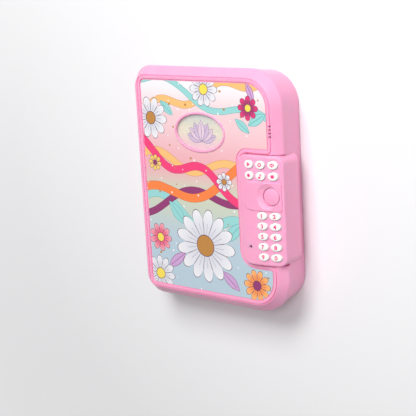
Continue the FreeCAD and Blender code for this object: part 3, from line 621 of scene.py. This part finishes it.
@dataclass(frozen=True)
class Dots(Shape):
    """Round dots strewn over the print, one in some of the cells of a plane."""

    cell: float
    share: float
    ink: Ink
    stretch: Triple = (1.0, 1.0, 1.0)
    radius: float = 0.035
    scatter: float = 0.8

    def draw(self, sheet: Sheet) -> None:
        """Draws the dots. Each is one to two radii wide to its edge, in cell widths, by its cell's chance.

        Args:
            sheet: the print.
        """
        paint, place = sheet.paint, sheet.paint.place(self.stretch)
        cells = paint.node("ShaderNodeTexVoronoi", Vector=place, Scale=1 / self.cell, Randomness=self.scatter)
        cells.voronoi_dimensions = "2D"
        away = Field(paint, cells.outputs["Distance"])
        red, green, _ = paint.axes(cells.outputs["Color"])
        sheet.lay(away.below(green * self.radius + self.radius) * red.below(self.share), self.ink)


@dataclass(frozen=True)
class Lily(Shape):
    """One open water lily: petals fanned from a point, the outer ones lowest in the drawing."""

    point: Place
    reach: float
    spreads: tuple[float, ...] = (1.22, 0.84, 0.44, 0.0)
    slimness: float = 0.42
    shrink: float = 0.08
    pen: float = 0.75

    def draw(self, sheet: Sheet) -> None:
        """Draws the petals, each turned by its spread to both sides of upright.

        Args:
            sheet: the print.
        """
        x, y = self.point
        for spread, ink in zip(self.spreads, (PrintInk.LILAC, PrintInk.BLUSH) * 2):
            for side in (-1, 1) if spread else (1,):
                turn = math.pi / 2 + side * spread
                length, width = self.reach * (1 - self.shrink * spread), self.reach * self.slimness
                middle = (x + math.cos(turn) * length / 2, y + math.sin(turn) * length / 2)
                Leaf(middle, length, width, turn, ink, PrintInk.VIOLET, self.pen).draw(sheet)


@dataclass(frozen=True)
class PrintedBoard(Finish):
    """A printed board: shapes over a ground that shifts in colour up the page, on a fine paper grain."""

    span: Place
    ground: tuple[tuple[float, Ink], ...]
    shapes: tuple[Shape, ...]
    paper: float
    paper_size: float
    roughness: float
    spread: float
    coat: float = 0.0
    coat_roughness: float = 0.08
    wobble: float = 0.0
    wobble_size: float = 26.0
    edge_ink: Ink | None = None
    top_from: float = 0.5

    def dress(self, paint: Paint) -> None:
        """Draws the page, lays the gloss on it and colours the board's sides where they have an ink.

        Args:
            paint: the new material.
        """
        place = paint.place()
        x, y, _ = paint.axes(place)
        if self.wobble:
            sway = paint.noise(place, self.wobble_size) * self.wobble - self.wobble / 2
            x, y = x + sway, y + sway
        low, high = self.span
        sheet = Sheet(paint, x, y, paint.ramp((y - low) / (high - low), self.ground))
        for shape in self.shapes:
            shape.draw(sheet)
        colour = sheet.colour
        if self.edge_ink:
            upright = paint.axes(paint.node("ShaderNodeTexCoord").outputs["Normal"])[2]
            colour = paint.layer(self.edge_ink, upright.above(self.top_from), colour)
        paint.set(Base_Color=colour, Coat_Weight=self.coat, Coat_Roughness=self.coat_roughness)
        paint.grain(paint.noise(place, self.paper_size, FINE), self.paper, self.roughness, self.spread)


def cover_shapes() -> tuple[Shape, ...]:
    """The shapes on the cover.

    Returns:
        Streamers, dots, leaves and flowers, the lowest in the drawing first.
    """
    ink = PrintInk
    green, plum, snow = (ink.TEAL, ink.DEEP_TEAL), (ink.LILAC, ink.PURPLE), (ink.WHITE, ink.SHADE)
    return (
        Streamer(86, 6, 74, 4, 0.24, 7, ink.PEACH),
        Streamer(82, 7, 98, 34, -0.26, 6, ink.TEAL),
        Streamer(-30, 10, 92, 14, -0.2, 9, ink.TEAL),
        Streamer(20, 7, 84, 6, -0.08, 7.5, ink.PEACH),
        Streamer(-9, 9, 112, -48, 0.16, 7, ink.PURPLE),
        Streamer(4, 11, 126, 24, 0.26, 8.5, ink.ORANGE),
        Streamer(10, 8, 78, -22, -0.34, 8, ink.HOT_PINK),
        Dots(15, 0.55, ink.WHITE),
        Dots(17, 0.4, ink.GOLD, (0.83, 1.07, 1)),
        Leaf((30, -38), 30, 11, 0.75, *green),
        Leaf((-36, -26), 28, 11, 2.3, *green),
        Leaf((-40, -72), 28, 10, -2.5, *plum),
        Leaf((24, -84), 26, 10, -0.7, *plum),
        Leaf((62, 66), 22, 9, 0.5, *green),
        Leaf((46, 60), 20, 8, 2.5, *green),
        Leaf((-42, 72), 20, 8, -0.7, *green),
        Leaf((56, 90), 18, 7, 2, *plum),
        Daisy((-62, 62), 20, 10, *snow, ink.GOLD, 0.3),
        Daisy((4, 91), 16, 10, *snow, ink.YELLOW, 0.1),
        Daisy((53, 76), 11, 8, ink.HOT_PINK, ink.PURPLE, ink.YELLOW, 0.2),
        Daisy((-60, 20), 8, 8, ink.YELLOW, ink.PEACH, ink.PURPLE, 0.5),
        Daisy((-4, -54), 35, 13, *snow, ink.GOLD, 0.4),
        Daisy((-59, -52), 14, 9, ink.ROSE, ink.HOT_PINK, ink.YELLOW, 0.2),
        Daisy((-62, -88), 18, 11, *snow, ink.YELLOW, 0.6),
        Daisy((54, -84), 15, 10, ink.PEACH, ink.ORANGE, ink.PURPLE, 0.2),
        Daisy((22, 8), 9, 8, *snow, ink.GOLD),
    )


class Dress:
    """The finishes of the whole diary."""

    CASE = Moulding("case_moulding", Ink(255, 169, 204), roughness=0.34, glow=0.4)
    INNER = Moulding("inner_moulding", Ink(250, 156, 198), roughness=0.5, grain=0.02)
    BUTTON = Moulding("button_moulding", Ink(255, 170, 206), roughness=0.32, glow=0.4)
    KEY = Moulding("key_moulding", Ink(247, 247, 243), roughness=0.28, grain=0.006, cloud=0.01, coat=0.2)
    MARK = Moulding("key_mark_ink", Ink(238, 34, 128), roughness=0.4, grain=0.004, cloud=0.05)
    LATCH = Moulding("latch_moulding", Ink(226, 226, 228), roughness=0.45)
    CHIP = Moulding("chip_moulding", Ink(28, 28, 30), roughness=0.5)
    RUBBER = Moulding("mat_rubber", Ink(206, 206, 210), roughness=0.7, grain=0.03)
    FELT = Moulding("capsule_felt", Ink(34, 26, 30), roughness=0.9, grain=0.05)
    CONE = Moulding("cone_paper", Ink(44, 40, 40), roughness=0.9, grain=0.06, grain_size=0.8)
    MARKER = Moulding("marker_barrel_moulding", Ink(98, 84, 188), roughness=0.22, grain=0.004, coat=0.3)
    CAP = replace(MARKER, name="marker_cap_moulding", ink=Ink(120, 98, 204))
    PANE = Moulding(
        "clear_pane", Ink(250, 250, 252), roughness=0.035, spread=0.03, cloud=0.0, grain=0.01,
        grain_size=14.0, detail=2.0, index=1.12, clearness=1.0,
    )
    STEEL = PlatedSteel("plated_steel", Ink(190, 190, 194), (0.9, 1.08), 0.004, 0.23, 0.15, metal=1.0)
    CAPSULE = replace(STEEL, name="capsule_metal", ink=Ink(96, 96, 98), run=(3.0, 3.0, 0.2), roughness=0.33)
    # The page edges' colour runs down to 0.86 of the ink in the grooves between sheets: painted shade.
    PAGES = CutPages("page_edges", Ink(246, 243, 234), (0.86, 1.0), 0.05, 0.85)
    # The coil's colour runs down to 0.6 of the ink in the valleys between turns: painted shade.
    COIL = WoundWire("coil_winding", Ink(196, 104, 58), (0.6, 1.0), 0.08, 0.25, 0.1, metal=0.8)
    BOARD = BoardMask("board_mask", Ink(24, 98, 54), (1.0, 1.5), 0.03, 0.32)
    GROUND = (
        (0.0, PrintInk.MIST),
        (0.22, PrintInk.MIST),
        (0.46, PrintInk.SAGE),
        (0.6, PrintInk.ROSE),
        (0.82, PrintInk.PALE_ROSE),
        (1.0, PrintInk.WHITE),
    )
    COVER = PrintedBoard(
        "cover_print", (-97.5, 97.5), GROUND, cover_shapes(), paper=0.006, paper_size=0.8, roughness=0.3,
        spread=0.08, coat=0.35, wobble=1.6, edge_ink=CASE.ink,
    )
    FLOOR = FloorPaint("studio_floor")


def wear(finish: Finish, *nodes: str) -> None:
    """Gives CAD nodes a finish.

    Args:
        finish: the finish that they wear.
        nodes: the nodes' names.
    """
    for name in nodes:
        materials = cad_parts[name].data.materials
        materials.clear()
        materials.append(finish.material())
        LOG.info("node %s: %s", name, finish.name)


def show(name: str, data: bpy.types.ID) -> bpy.types.Object:
    """Puts data into the scene as an object.

    Args:
        name: the object's name.
        data: what it shows.

    Returns:
        The object.
    """
    made = bpy.data.objects.new(name, data)
    bpy.context.scene.collection.objects.link(made)
    return made


def mount(name: str, mesh: Mesh, finish: Finish, body: str) -> bpy.types.Object:
    """Makes a mesh a dressed object that rides on a body.

    Args:
        name: the piece's name.
        mesh: its mesh.
        finish: the finish that it wears.
        body: the body that it moves with.

    Returns:
        The object.
    """
    mesh.materials.append(finish.material())
    made = show(name, mesh)
    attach(made, body)
    LOG.info("piece %s: %d faces", name, len(mesh.polygons))
    return made


def rework(mesh: Mesh, step: Callable[[bmesh.types.BMesh], object]) -> None:
    """Runs one step of mending on a mesh.

    Args:
        mesh: the mesh to mend.
        step: what is done to its skin.
    """
    skin = bmesh.new()
    skin.from_mesh(mesh)
    step(skin)
    skin.to_mesh(mesh)
    skin.free()


def points_of(mesh: Mesh) -> np.ndarray:
    """A mesh's points.

    Args:
        mesh: the mesh.

    Returns:
        One row for each point, in millimetres.
    """
    points = np.zeros(len(mesh.vertices) * 3)
    mesh.vertices.foreach_get("co", points)
    return points.reshape(-1, 3) / MM


def box_of(node: str) -> tuple[np.ndarray, np.ndarray]:
    """A node's lowest and highest corners in millimetres."""
    low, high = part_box(node)
    return np.array(low) / MM, np.array(high) / MM


def middle_of(node: str) -> Triple:
    """A node's middle across and up the page and its top level, in millimetres."""
    low, high = box_of(node)
    return (low[0] + high[0]) / 2, (low[1] + high[1]) / 2, high[2]


def angles(count: int = 48) -> np.ndarray:
    """Even angles round a full turn."""
    return np.linspace(0, FULL_TURN, count, endpoint=False)


def polar(radii: np.ndarray | float) -> np.ndarray:
    """A closed loop round the origin from one radius, or one for each angle."""
    angle = angles()
    return np.column_stack([np.cos(angle) * radii, np.sin(angle) * radii])


def levelled(rows: Sequence[tuple[np.ndarray, float]], axis: int = 0) -> np.ndarray:
    """Flat loops set at their levels and stacked into one grid."""
    return np.stack([np.column_stack([xy, np.full(len(xy), z)]) for xy, z in rows], axis)


@dataclass
class Surface:
    """Corners and faces of one or more sheets, ready to become a mesh."""

    points: np.ndarray
    faces: list[list[int]]

    @classmethod
    def sheet(cls, grid: np.ndarray, close_rows: bool = False) -> "Surface":
        """A grid of points whose columns close on themselves.

        Args:
            grid: points by row and column.
            close_rows: whether the last row joins the first.

        Returns:
            The sheet.
        """
        index = np.arange(grid[..., 0].size).reshape(grid.shape[:2])
        following = np.roll(index, -1, 0)
        corners = np.stack([index, np.roll(index, -1, 1), np.roll(following, -1, 1), following], -1)
        faces = corners if close_rows else corners[:-1]
        return cls(grid.reshape(-1, 3), faces.reshape(-1, 4).tolist())

    @classmethod
    def capped(cls, grid: np.ndarray) -> "Surface":
        """A grid of closed rings whose first and last are drawn in to their middles.

        Args:
            grid: points by row and column.

        Returns:
            The closed shell.
        """
        body, start = cls.sheet(grid), np.arange(grid.shape[1])
        count, beside = len(body.points), np.roll(start, -1)
        last = count - len(start)
        foot = np.column_stack([0 * start + count, beside, start])
        head = np.column_stack([0 * start + count + 1, start + last, beside + last])
        points = np.vstack([body.points, grid[0].mean(0), grid[-1].mean(0)])
        return cls(points, body.faces + foot.tolist() + head.tolist())

    def __add__(self, other: "Surface") -> "Surface":
        """Two surfaces side by side in one mesh."""
        moved = [[index + len(self.points) for index in face] for face in other.faces]
        return Surface(np.vstack([self.points, other.points]), self.faces + moved)

    def mesh(self, name: str, smooth: bool = False) -> Mesh:
        """The surface as a mesh with its faces turned outward.

        Args:
            name: the mesh's name.
            smooth: whether its faces shade smoothly.

        Returns:
            The mesh.
        """
        mesh = bpy.data.meshes.new(name)
        mesh.from_pydata((self.points * MM).tolist(), [], self.faces)
        rework(mesh, lambda skin: bmesh.ops.recalc_face_normals(skin, faces=skin.faces))
        mesh.polygons.foreach_set("use_smooth", np.full(len(mesh.polygons), smooth))
        return mesh

    def stand_in(self, node: str, kind: str, body: str, smooth: bool = False) -> None:
        """Makes the surface the steel piece that is seen in place of a node."""
        name = f"{node}_{kind}"
        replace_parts(mount(name, self.mesh(name, smooth), Dress.STEEL, body), node)


@dataclass(frozen=True)
class Slab:
    """Thin flat shapes between two levels."""

    low: float
    high: float

    def plate(self, loop: np.ndarray) -> Surface:
        """A closed loop raised from one level to the other."""
        return Surface.capped(levelled([(loop, self.low), (loop, self.high)]))

    def band(self, outer: np.ndarray, inner: np.ndarray) -> Surface:
        """A flat ring: a square section carried round between two closed loops."""
        rows = [(outer, self.low), (outer, self.high), (inner, self.high), (inner, self.low)]
        return Surface.sheet(levelled(rows), close_rows=True)

    def strip(self, path: np.ndarray, width: float) -> Surface:
        """A pen stroke: a rectangle carried along a path, with half the pen's width to each side.

        Args:
            path: points along the stroke.
            width: the pen's width.

        Returns:
            The closed stroke.
        """
        along = np.gradient(path, axis=0)
        along /= np.linalg.norm(along, axis=1, keepdims=True)
        side = np.column_stack([-along[:, 1], along[:, 0]]) * width / 2
        left, right = path + side, path - side
        rows = [(left, self.low), (left, self.high), (right, self.high), (right, self.low)]
        return Surface.capped(levelled(rows, 1))


class Mark(Enum):
    """The signs on the round keys, by the node that carries them."""

    PLAY = "key_play"
    LOOP = "key_loop"
    VOICE = "key_voice"
    RECORD = "key_record"
    MUSIC = "key_music"
    LIGHT = "key_light"


@dataclass
class KeyBlock:
    """The raised key block: its shell, the keys and the signs on them."""

    mark_height: float = 0.05
    mark_sink: float = 0.02
    mark_size: float = 1.75
    digit_size: float = 5.2
    digit_weight: float = 0.03
    doubled: float = 1e-4
    feel: float = 1.5

    def build(self) -> None:
        """Dresses the block and marks every key."""
        wear(Dress.CASE, "keypad_housing")
        wear(Dress.BUTTON, "open_button")
        wear(Dress.KEY, *(mark.value for mark in Mark), *(f"key_{digit}" for digit in range(10)))
        for mark in Mark:
            self.function_mark(mark)
        for digit in range(10):
            self.digit_mark(str(digit))

    def settle(self, points: np.ndarray, node: str) -> None:
        """Moves points round the origin onto a key, lifted by its top's curve, felt at three places along X.

        Args:
            points: the points to move, in millimetres.
            node: the key's node.
        """
        x, y, top = middle_of(node)
        steps, down = (-self.feel, 0.0, self.feel), Vector((0.0, 0.0, -1.0))
        starts = [Vector((x + step, y, top + self.feel)) * MM for step in steps]
        levels = [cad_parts[node].ray_cast(start, down)[1].z / MM for start in starts]
        points[:, 2] += np.polyval(np.polyfit(steps, levels, 2), points[:, 0])
        points[:, :2] += (x, y)

    def function_mark(self, mark: Mark) -> None:
        """Lays a sign on a round key.

        Args:
            mark: which sign.
        """
        sign, name = self.sign(mark), f"{mark.value}_sign"
        self.settle(sign.points, mark.value)
        mount(name, sign.mesh(name), Dress.MARK, mark.value)

    def sign(self, mark: Mark) -> Surface:
        """A sign round the origin, from loops with a radius for every angle and strokes along arcs.

        Args:
            mark: which sign.

        Returns:
            The sign's surface.
        """
        slab = Slab(-self.mark_sink, self.mark_height)
        size = self.mark_size
        if mark is Mark.PLAY:
            third, inner = FULL_TURN / 3, size * 0.62
            return slab.plate(polar(inner / np.cos(angles() % third - third / 2)))
        if mark is Mark.LOOP:
            hole = size * 0.5
            return slab.band(polar(size), polar(hole))
        if mark is Mark.RECORD:
            spot = size * 0.85
            return slab.plate(polar(spot))
        if mark is Mark.LIGHT:
            rays, core, ray = 8, 0.92, 0.26
            return slab.plate(polar(size * (core + ray * np.cos(rays * angles()))))
        if mark is Mark.VOICE:
            arch, sink, pen, drop, fall = size * np.array([0.95, 0.35, 0.56, 0.48, 0.5])
            sweep = np.linspace(0.0, np.pi, 24)
            path = np.column_stack([np.cos(sweep), np.sin(sweep)]) * arch - (0, sink)
            return slab.strip(path, pen) + slab.plate(polar(drop) - (0, fall))
        radius, left, foot, stem, pen = size * np.array([0.6, -0.3, -0.75, 0.22, 0.34])
        top, out, fall = size * np.array([0.95, 0.62, 0.75])
        oval, bend = (1.15, 0.85), np.linspace(0, 1, 12)
        head = slab.plate(polar(radius) * oval + (left, foot))
        post = slab.strip(np.linspace((stem, foot), (stem, size), 6), pen)
        flag = slab.strip(np.column_stack([stem + out * bend, top - fall * bend ** 2]), pen)
        return head + post + flag

    def outline(self, digit: str) -> Mesh:
        """A digit's text outline as a thin mesh, its doubled edge points joined into one closed skin.

        Args:
            digit: the digit.

        Returns:
            The mesh.
        """
        curve = bpy.data.curves.new(f"key_{digit}_outline", "FONT")
        curve.body = digit
        curve.align_x, curve.align_y = "CENTER", "CENTER"
        curve.size = self.digit_size * MM
        curve.offset = self.digit_weight * self.digit_size * MM
        curve.extrude = (self.mark_height + self.mark_sink) / 2 * MM
        holder = show(curve.name, curve)
        bpy.context.view_layer.update()
        seen = holder.evaluated_get(bpy.context.evaluated_depsgraph_get())
        mesh = bpy.data.meshes.new_from_object(seen)
        bpy.data.objects.remove(holder)
        limit = self.doubled * MM
        rework(mesh, lambda skin: bmesh.ops.remove_doubles(skin, verts=skin.verts, dist=limit))
        return mesh

    def digit_mark(self, digit: str) -> None:
        """Lays a digit on an oval key. The nine is a turned six.

        Args:
            digit: the digit.
        """
        node = f"key_{digit}"
        turned = digit == "9"
        mesh = self.outline("6" if turned else digit)
        points = points_of(mesh)
        points -= (points.max(0) + points.min(0)) / 2
        points[:, :2] *= -1 if turned else 1
        points[:, 2] += (self.mark_height - self.mark_sink) / 2
        self.settle(points, node)
        mesh.vertices.foreach_set("co", points.ravel() * MM)
        mount(f"{node}_digit", mesh, Dress.MARK, node)


@dataclass(frozen=True)
class Screws:
    """Cross-recessed screws with their heads down, which stand for the plain ones."""

    head_radius: float = 2.3
    head_height: float = 1.4
    shank_share: float = 0.5
    recess_depth: float = 0.55
    recess_share: float = 0.7
    arm_width: float = 0.62
    arm_reach: float = 0.72
    edge: float = 0.16
    apart: float = 8.0
    face_rings: int = 14
    sides: int = 64

    def build(self, node: str, body: str) -> None:
        """Makes every screw of a node."""
        screws = [self.screw(low, high) for low, high in self.solids(node)]
        reduce(add, screws).stand_in(node, "recessed", body)

    def solids(self, node: str) -> list[tuple[np.ndarray, np.ndarray]]:
        """The box of each separate screw of a node, found from the room between them.

        Args:
            node: the node of plain screws.

        Returns:
            Lowest and highest corners in millimetres.
        """
        points = points_of(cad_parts[node].data)
        found = []
        while len(points):
            near = np.linalg.norm((points - points[0])[:, :2], axis=1) < self.apart
            found.append((points[near].min(0), points[near].max(0)))
            points = points[~near]
        return found

    def screw(self, low: np.ndarray, high: np.ndarray) -> Surface:
        """A screw as rings round its axis; the head's face sinks where a cross of two bars lies.

        Args:
            low: the lowest corner of its box.
            high: the highest corner of its box.

        Returns:
            The closed screw.
        """
        length, head, rim = high[2] - low[2], self.head_radius, self.head_radius - self.edge
        shank = head * self.shank_share
        body = [(shank, length), (shank, self.head_height), (head, self.head_height)]
        body += [(head, self.edge), (rim, 0)]
        face = np.linspace(1.0, 0.0, self.face_rings + 1)[1:-1] * rim
        radii, levels = np.vstack([body, np.column_stack([face, 0 * face])]).T
        angle = angles(self.sides)
        x, y = radii[:, None] * np.cos(angle), radii[:, None] * np.sin(angle)
        near, far = np.sort(np.abs([x, y]), axis=0)
        inside = (near < self.arm_width / 2) & (far < head * self.arm_reach)
        inside &= (np.arange(len(radii)) >= len(body))[:, None]
        z = levels[:, None] + inside * min(self.recess_depth, self.head_height * self.recess_share)
        middle = (low + high) / 2
        return Surface.capped(np.stack([x + middle[0], y + middle[1], z + low[2]], -1))


@dataclass
class Lid:
    """The hinged lid: frame, printed panel, window and strike plate."""

    def build(self) -> None:
        """Dresses the lid's nodes."""
        wear(Dress.CASE, "lid_frame", "window_bezel")
        wear(Dress.COVER, "cover_panel")
        wear(Dress.PANE, "window_lens")
        wear(Dress.STEEL, "strike_plate")


@dataclass(frozen=True)
class Spring:
    """Round wire wound in turns along an axis."""

    turns: float
    wire: float = 0.45
    sides: int = 10
    steps: int = 28

    def helix(self, start: np.ndarray, along: np.ndarray, radii: Place) -> Surface:
        """A round section carried along a helix whose radius runs evenly from one end to the other.

        Args:
            start: the first end of the axis in millimetres.
            along: the axis from that end to the other, square to Z.
            radii: the radius at each end.

        Returns:
            The closed wire.
        """
        share = np.linspace(0, 1, int(self.turns * self.steps))[:, None]
        axis = along / np.linalg.norm(along)
        side = np.cross(axis, (0.0, 0.0, 1.0))
        other = np.cross(axis, side)
        angle = share * self.turns * FULL_TURN
        radius = radii[0] + (radii[1] - radii[0]) * share
        outward = side * np.cos(angle) + other * np.sin(angle)
        path = start + along * share + outward * radius
        turn = angles(self.sides)[None, :, None]
        section = (outward[:, None] * np.cos(turn) + axis * np.sin(turn)) * self.wire / 2
        return Surface.capped(path[:, None] + section)


@dataclass
class BaseCase:
    """The base: back shell, deck, battery bay, hinge pins and their fasteners."""

    contact: Spring = Spring(4.5)
    contact_count: int = 3
    contact_length: float = 4.0
    contact_tip: float = 2.0
    latch: Spring = Spring(6.0)
    case_screws: Screws = Screws()
    door_screw: Screws = Screws(head_height=0.7, recess_depth=0.45, arm_width=0.6)

    def build(self) -> None:
        """Dresses the base's nodes and makes its screws and springs."""
        wear(Dress.CASE, "base_shell", "battery_door")
        wear(Dress.INNER, "tray")
        wear(Dress.STEEL, "hinge_pins", "contact_plates", "solenoid_frame", "housing_screws", "board_screws")
        wear(CellSleeve("cell_sleeve", middle_of("batteries")[1]), "batteries")
        self.case_screws.build("case_screws", "base")
        self.door_screw.build("door_screw", "battery_door")
        self.contact_springs()
        self.latch_spring()

    def contact_springs(self) -> None:
        """Cone springs behind the cells, wound from foot to tip and turned about by turns."""
        low, high = box_of("contact_springs")
        inset = self.contact.wire / 2
        foot = (high[2] - low[2]) / 2
        length = self.contact_length - 2 * inset
        runs, wound = ((high[1] - inset, -length), (low[1] + inset, length)), []
        for index, x in enumerate(np.linspace(low[0] + foot, high[0] - foot, self.contact_count)):
            y, run = runs[index % 2]
            start, along = np.array([x, y, (low[2] + high[2]) / 2]), np.array([0.0, run, 0.0])
            wound.append(self.contact.helix(start, along, (foot - inset, self.contact_tip - inset)))
        reduce(add, wound).stand_in("contact_springs", "wound", "base", smooth=True)

    def latch_spring(self) -> None:
        """The latch's return spring, wound along X between the arm and the frame."""
        low, high = box_of("latch_spring")
        inset = self.latch.wire / 2
        radius = (high[2] - low[2]) / 2 - inset
        start = np.array([low[0] + inset, (low[1] + high[1]) / 2, (low[2] + high[2]) / 2])
        along = np.array([high[0] - low[0] - 2 * inset, 0.0, 0.0])
        wound = self.latch.helix(start, along, (radius, radius))
        wound.stand_in("latch_spring", "wound", "base", smooth=True)


@dataclass
class Works:
    """The board, the lock and the sound parts inside the case."""

    def build(self) -> None:
        """Dresses the inner nodes."""
        wear(Dress.BOARD, "circuit_board")
        wear(Dress.CHIP, "control_chip")
        wear(Dress.RUBBER, "key_mat")
        wear(Dress.FELT, "microphone")
        wear(Dress.CAPSULE, "speaker_basket")
        wear(Dress.CONE, "speaker_cone")
        wear(Dress.COIL, "solenoid_coil")
        wear(Dress.LATCH, "latch_bolt")


@dataclass
class Stationery:
    """The notebook in its well and the marker in its trough."""

    wash: tuple[tuple[float, Ink], ...] = (
        (0.0, Ink(120, 112, 206)),
        (0.28, Ink(176, 146, 218)),
        (0.52, Ink(238, 172, 212)),
        (0.72, Ink(239, 183, 199)),
        (0.83, Ink(231, 220, 187)),
        (0.95, Ink(192, 203, 197)),
    )
    dots: Dots = Dots(11.0, 0.5, PrintInk.WHITE)
    lilies: tuple[Triple, ...] = ((0.0, -9.0, 20.0), (-38.0, -74.0, 15.0), (12.0, -98.0, 18.0))

    def build(self) -> None:
        """Dresses the notebook and the marker. The first lily lies under the window."""
        low, high = box_of("notebook_cover")
        x, y, _ = middle_of("window_lens")
        lilies = [Lily((x + right, y + above), reach) for right, above, reach in self.lilies]
        board = PrintedBoard(
            "notebook_print", (low[1], high[1]), self.wash, (self.dots, *lilies),
            paper=0.02, paper_size=0.5, roughness=0.45, spread=0.1,
        )
        wear(board, "notebook_cover")
        wear(Dress.PAGES, "notebook_pages")
        wear(Dress.MARKER, "marker_barrel")
        wear(Dress.CAP, "marker_cap")


@dataclass(frozen=True)
class Softbox:
    """One soft square lamp."""

    name: str
    place: Triple
    size: float
    power: float

    def hang(self, target: Triple) -> None:
        """Hangs the lamp and aims it.

        Args:
            target: the point that it shines at.
        """
        data = bpy.data.lights.new(self.name, "AREA")
        data.shape = "SQUARE"
        data.size = self.size
        data.energy = self.power
        made = show(self.name, data)
        made.location = self.place
        aim = Vector(target) - Vector(self.place)
        made.rotation_euler = aim.to_track_quat("-Z", "Y").to_euler()


@dataclass
class Studio:
    """The floor, the lamps, the surround and the camera."""

    lens: float = 100.93
    sensor: float = 36.0
    clip: Place = (0.01, 50.0)
    turn: Triple = (0.23345511, -0.69593206, -0.02363587)
    stand: Triple = (0.6729, 0.2167, 0.8276)
    target: Triple = (0.0, 0.0, 0.03)
    floor_half: float = 6.0
    lamps: tuple[Softbox, ...] = (
        Softbox("main_softbox", (0.15, 1.1, 1.22), 0.8, 22.5),
        Softbox("side_softbox", (0.8, 0.4, 1.45), 0.6, 9.5),
    )
    fill: float = 0.17
    surround: tuple[float, ...] = (0.94, 0.94, 0.95, 1.0)

    def build(self) -> None:
        """Sets the floor, the lamps, the surround and the camera."""
        bpy.context.scene.view_settings.view_transform = "Standard"
        self.floor()
        for lamp in self.lamps:
            lamp.hang(self.target)
        self.sky()
        self.camera()

    def floor(self) -> None:
        """A level square: each of its corners lies at level nought."""
        side = np.array([-self.floor_half, self.floor_half])
        x, y = np.meshgrid(side, side)
        mesh = bpy.data.meshes.new("floor")
        mesh.from_pydata(np.stack([x, y, 0 * x], -1).reshape(-1, 3).tolist(), [], [(0, 1, 3, 2)])
        mesh.materials.append(Dress.FLOOR.material())
        show("floor", mesh)

    def sky(self) -> None:
        """A white surround to the eye, in reflections and through the pane, and a soft fill elsewhere."""
        world = bpy.data.worlds.new("surround")
        bpy.context.scene.world = world
        world.use_nodes = True
        nodes = Nodes(world.node_tree)
        fill = nodes.node("ShaderNodeBackground", Color=(1.0, 1.0, 1.0, 1.0), Strength=self.fill)
        white = nodes.node("ShaderNodeBackground", Color=self.surround, Strength=1.0)
        mix = nodes.node("ShaderNodeMixShader", nodes.background_rays(), fill.outputs[0], white.outputs[0])
        nodes.node("ShaderNodeOutputWorld", Surface=mix.outputs[0])

    def camera(self) -> None:
        """Stands the camera where the photograph was taken from."""
        data = bpy.data.cameras.new("camera")
        data.lens = self.lens
        data.sensor_width = self.sensor
        data.clip_start, data.clip_end = self.clip
        made = show("camera", data)
        turn = Vector(self.turn)
        made.rotation_euler = Matrix.Rotation(turn.length, 3, turn).transposed().to_euler()
        made.location = self.stand
        bpy.context.scene.camera = made


def main() -> None:
    """Builds the diary's looks and the studio in order."""
    logging.basicConfig(level=logging.INFO, format="%(message)s")
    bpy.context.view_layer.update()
    for part in (BaseCase(), Works(), Stationery(), KeyBlock(), Lid(), Studio()):
        part.build()
        LOG.info("built %s", type(part).__name__)


if __name__ == "__main__":
    main()
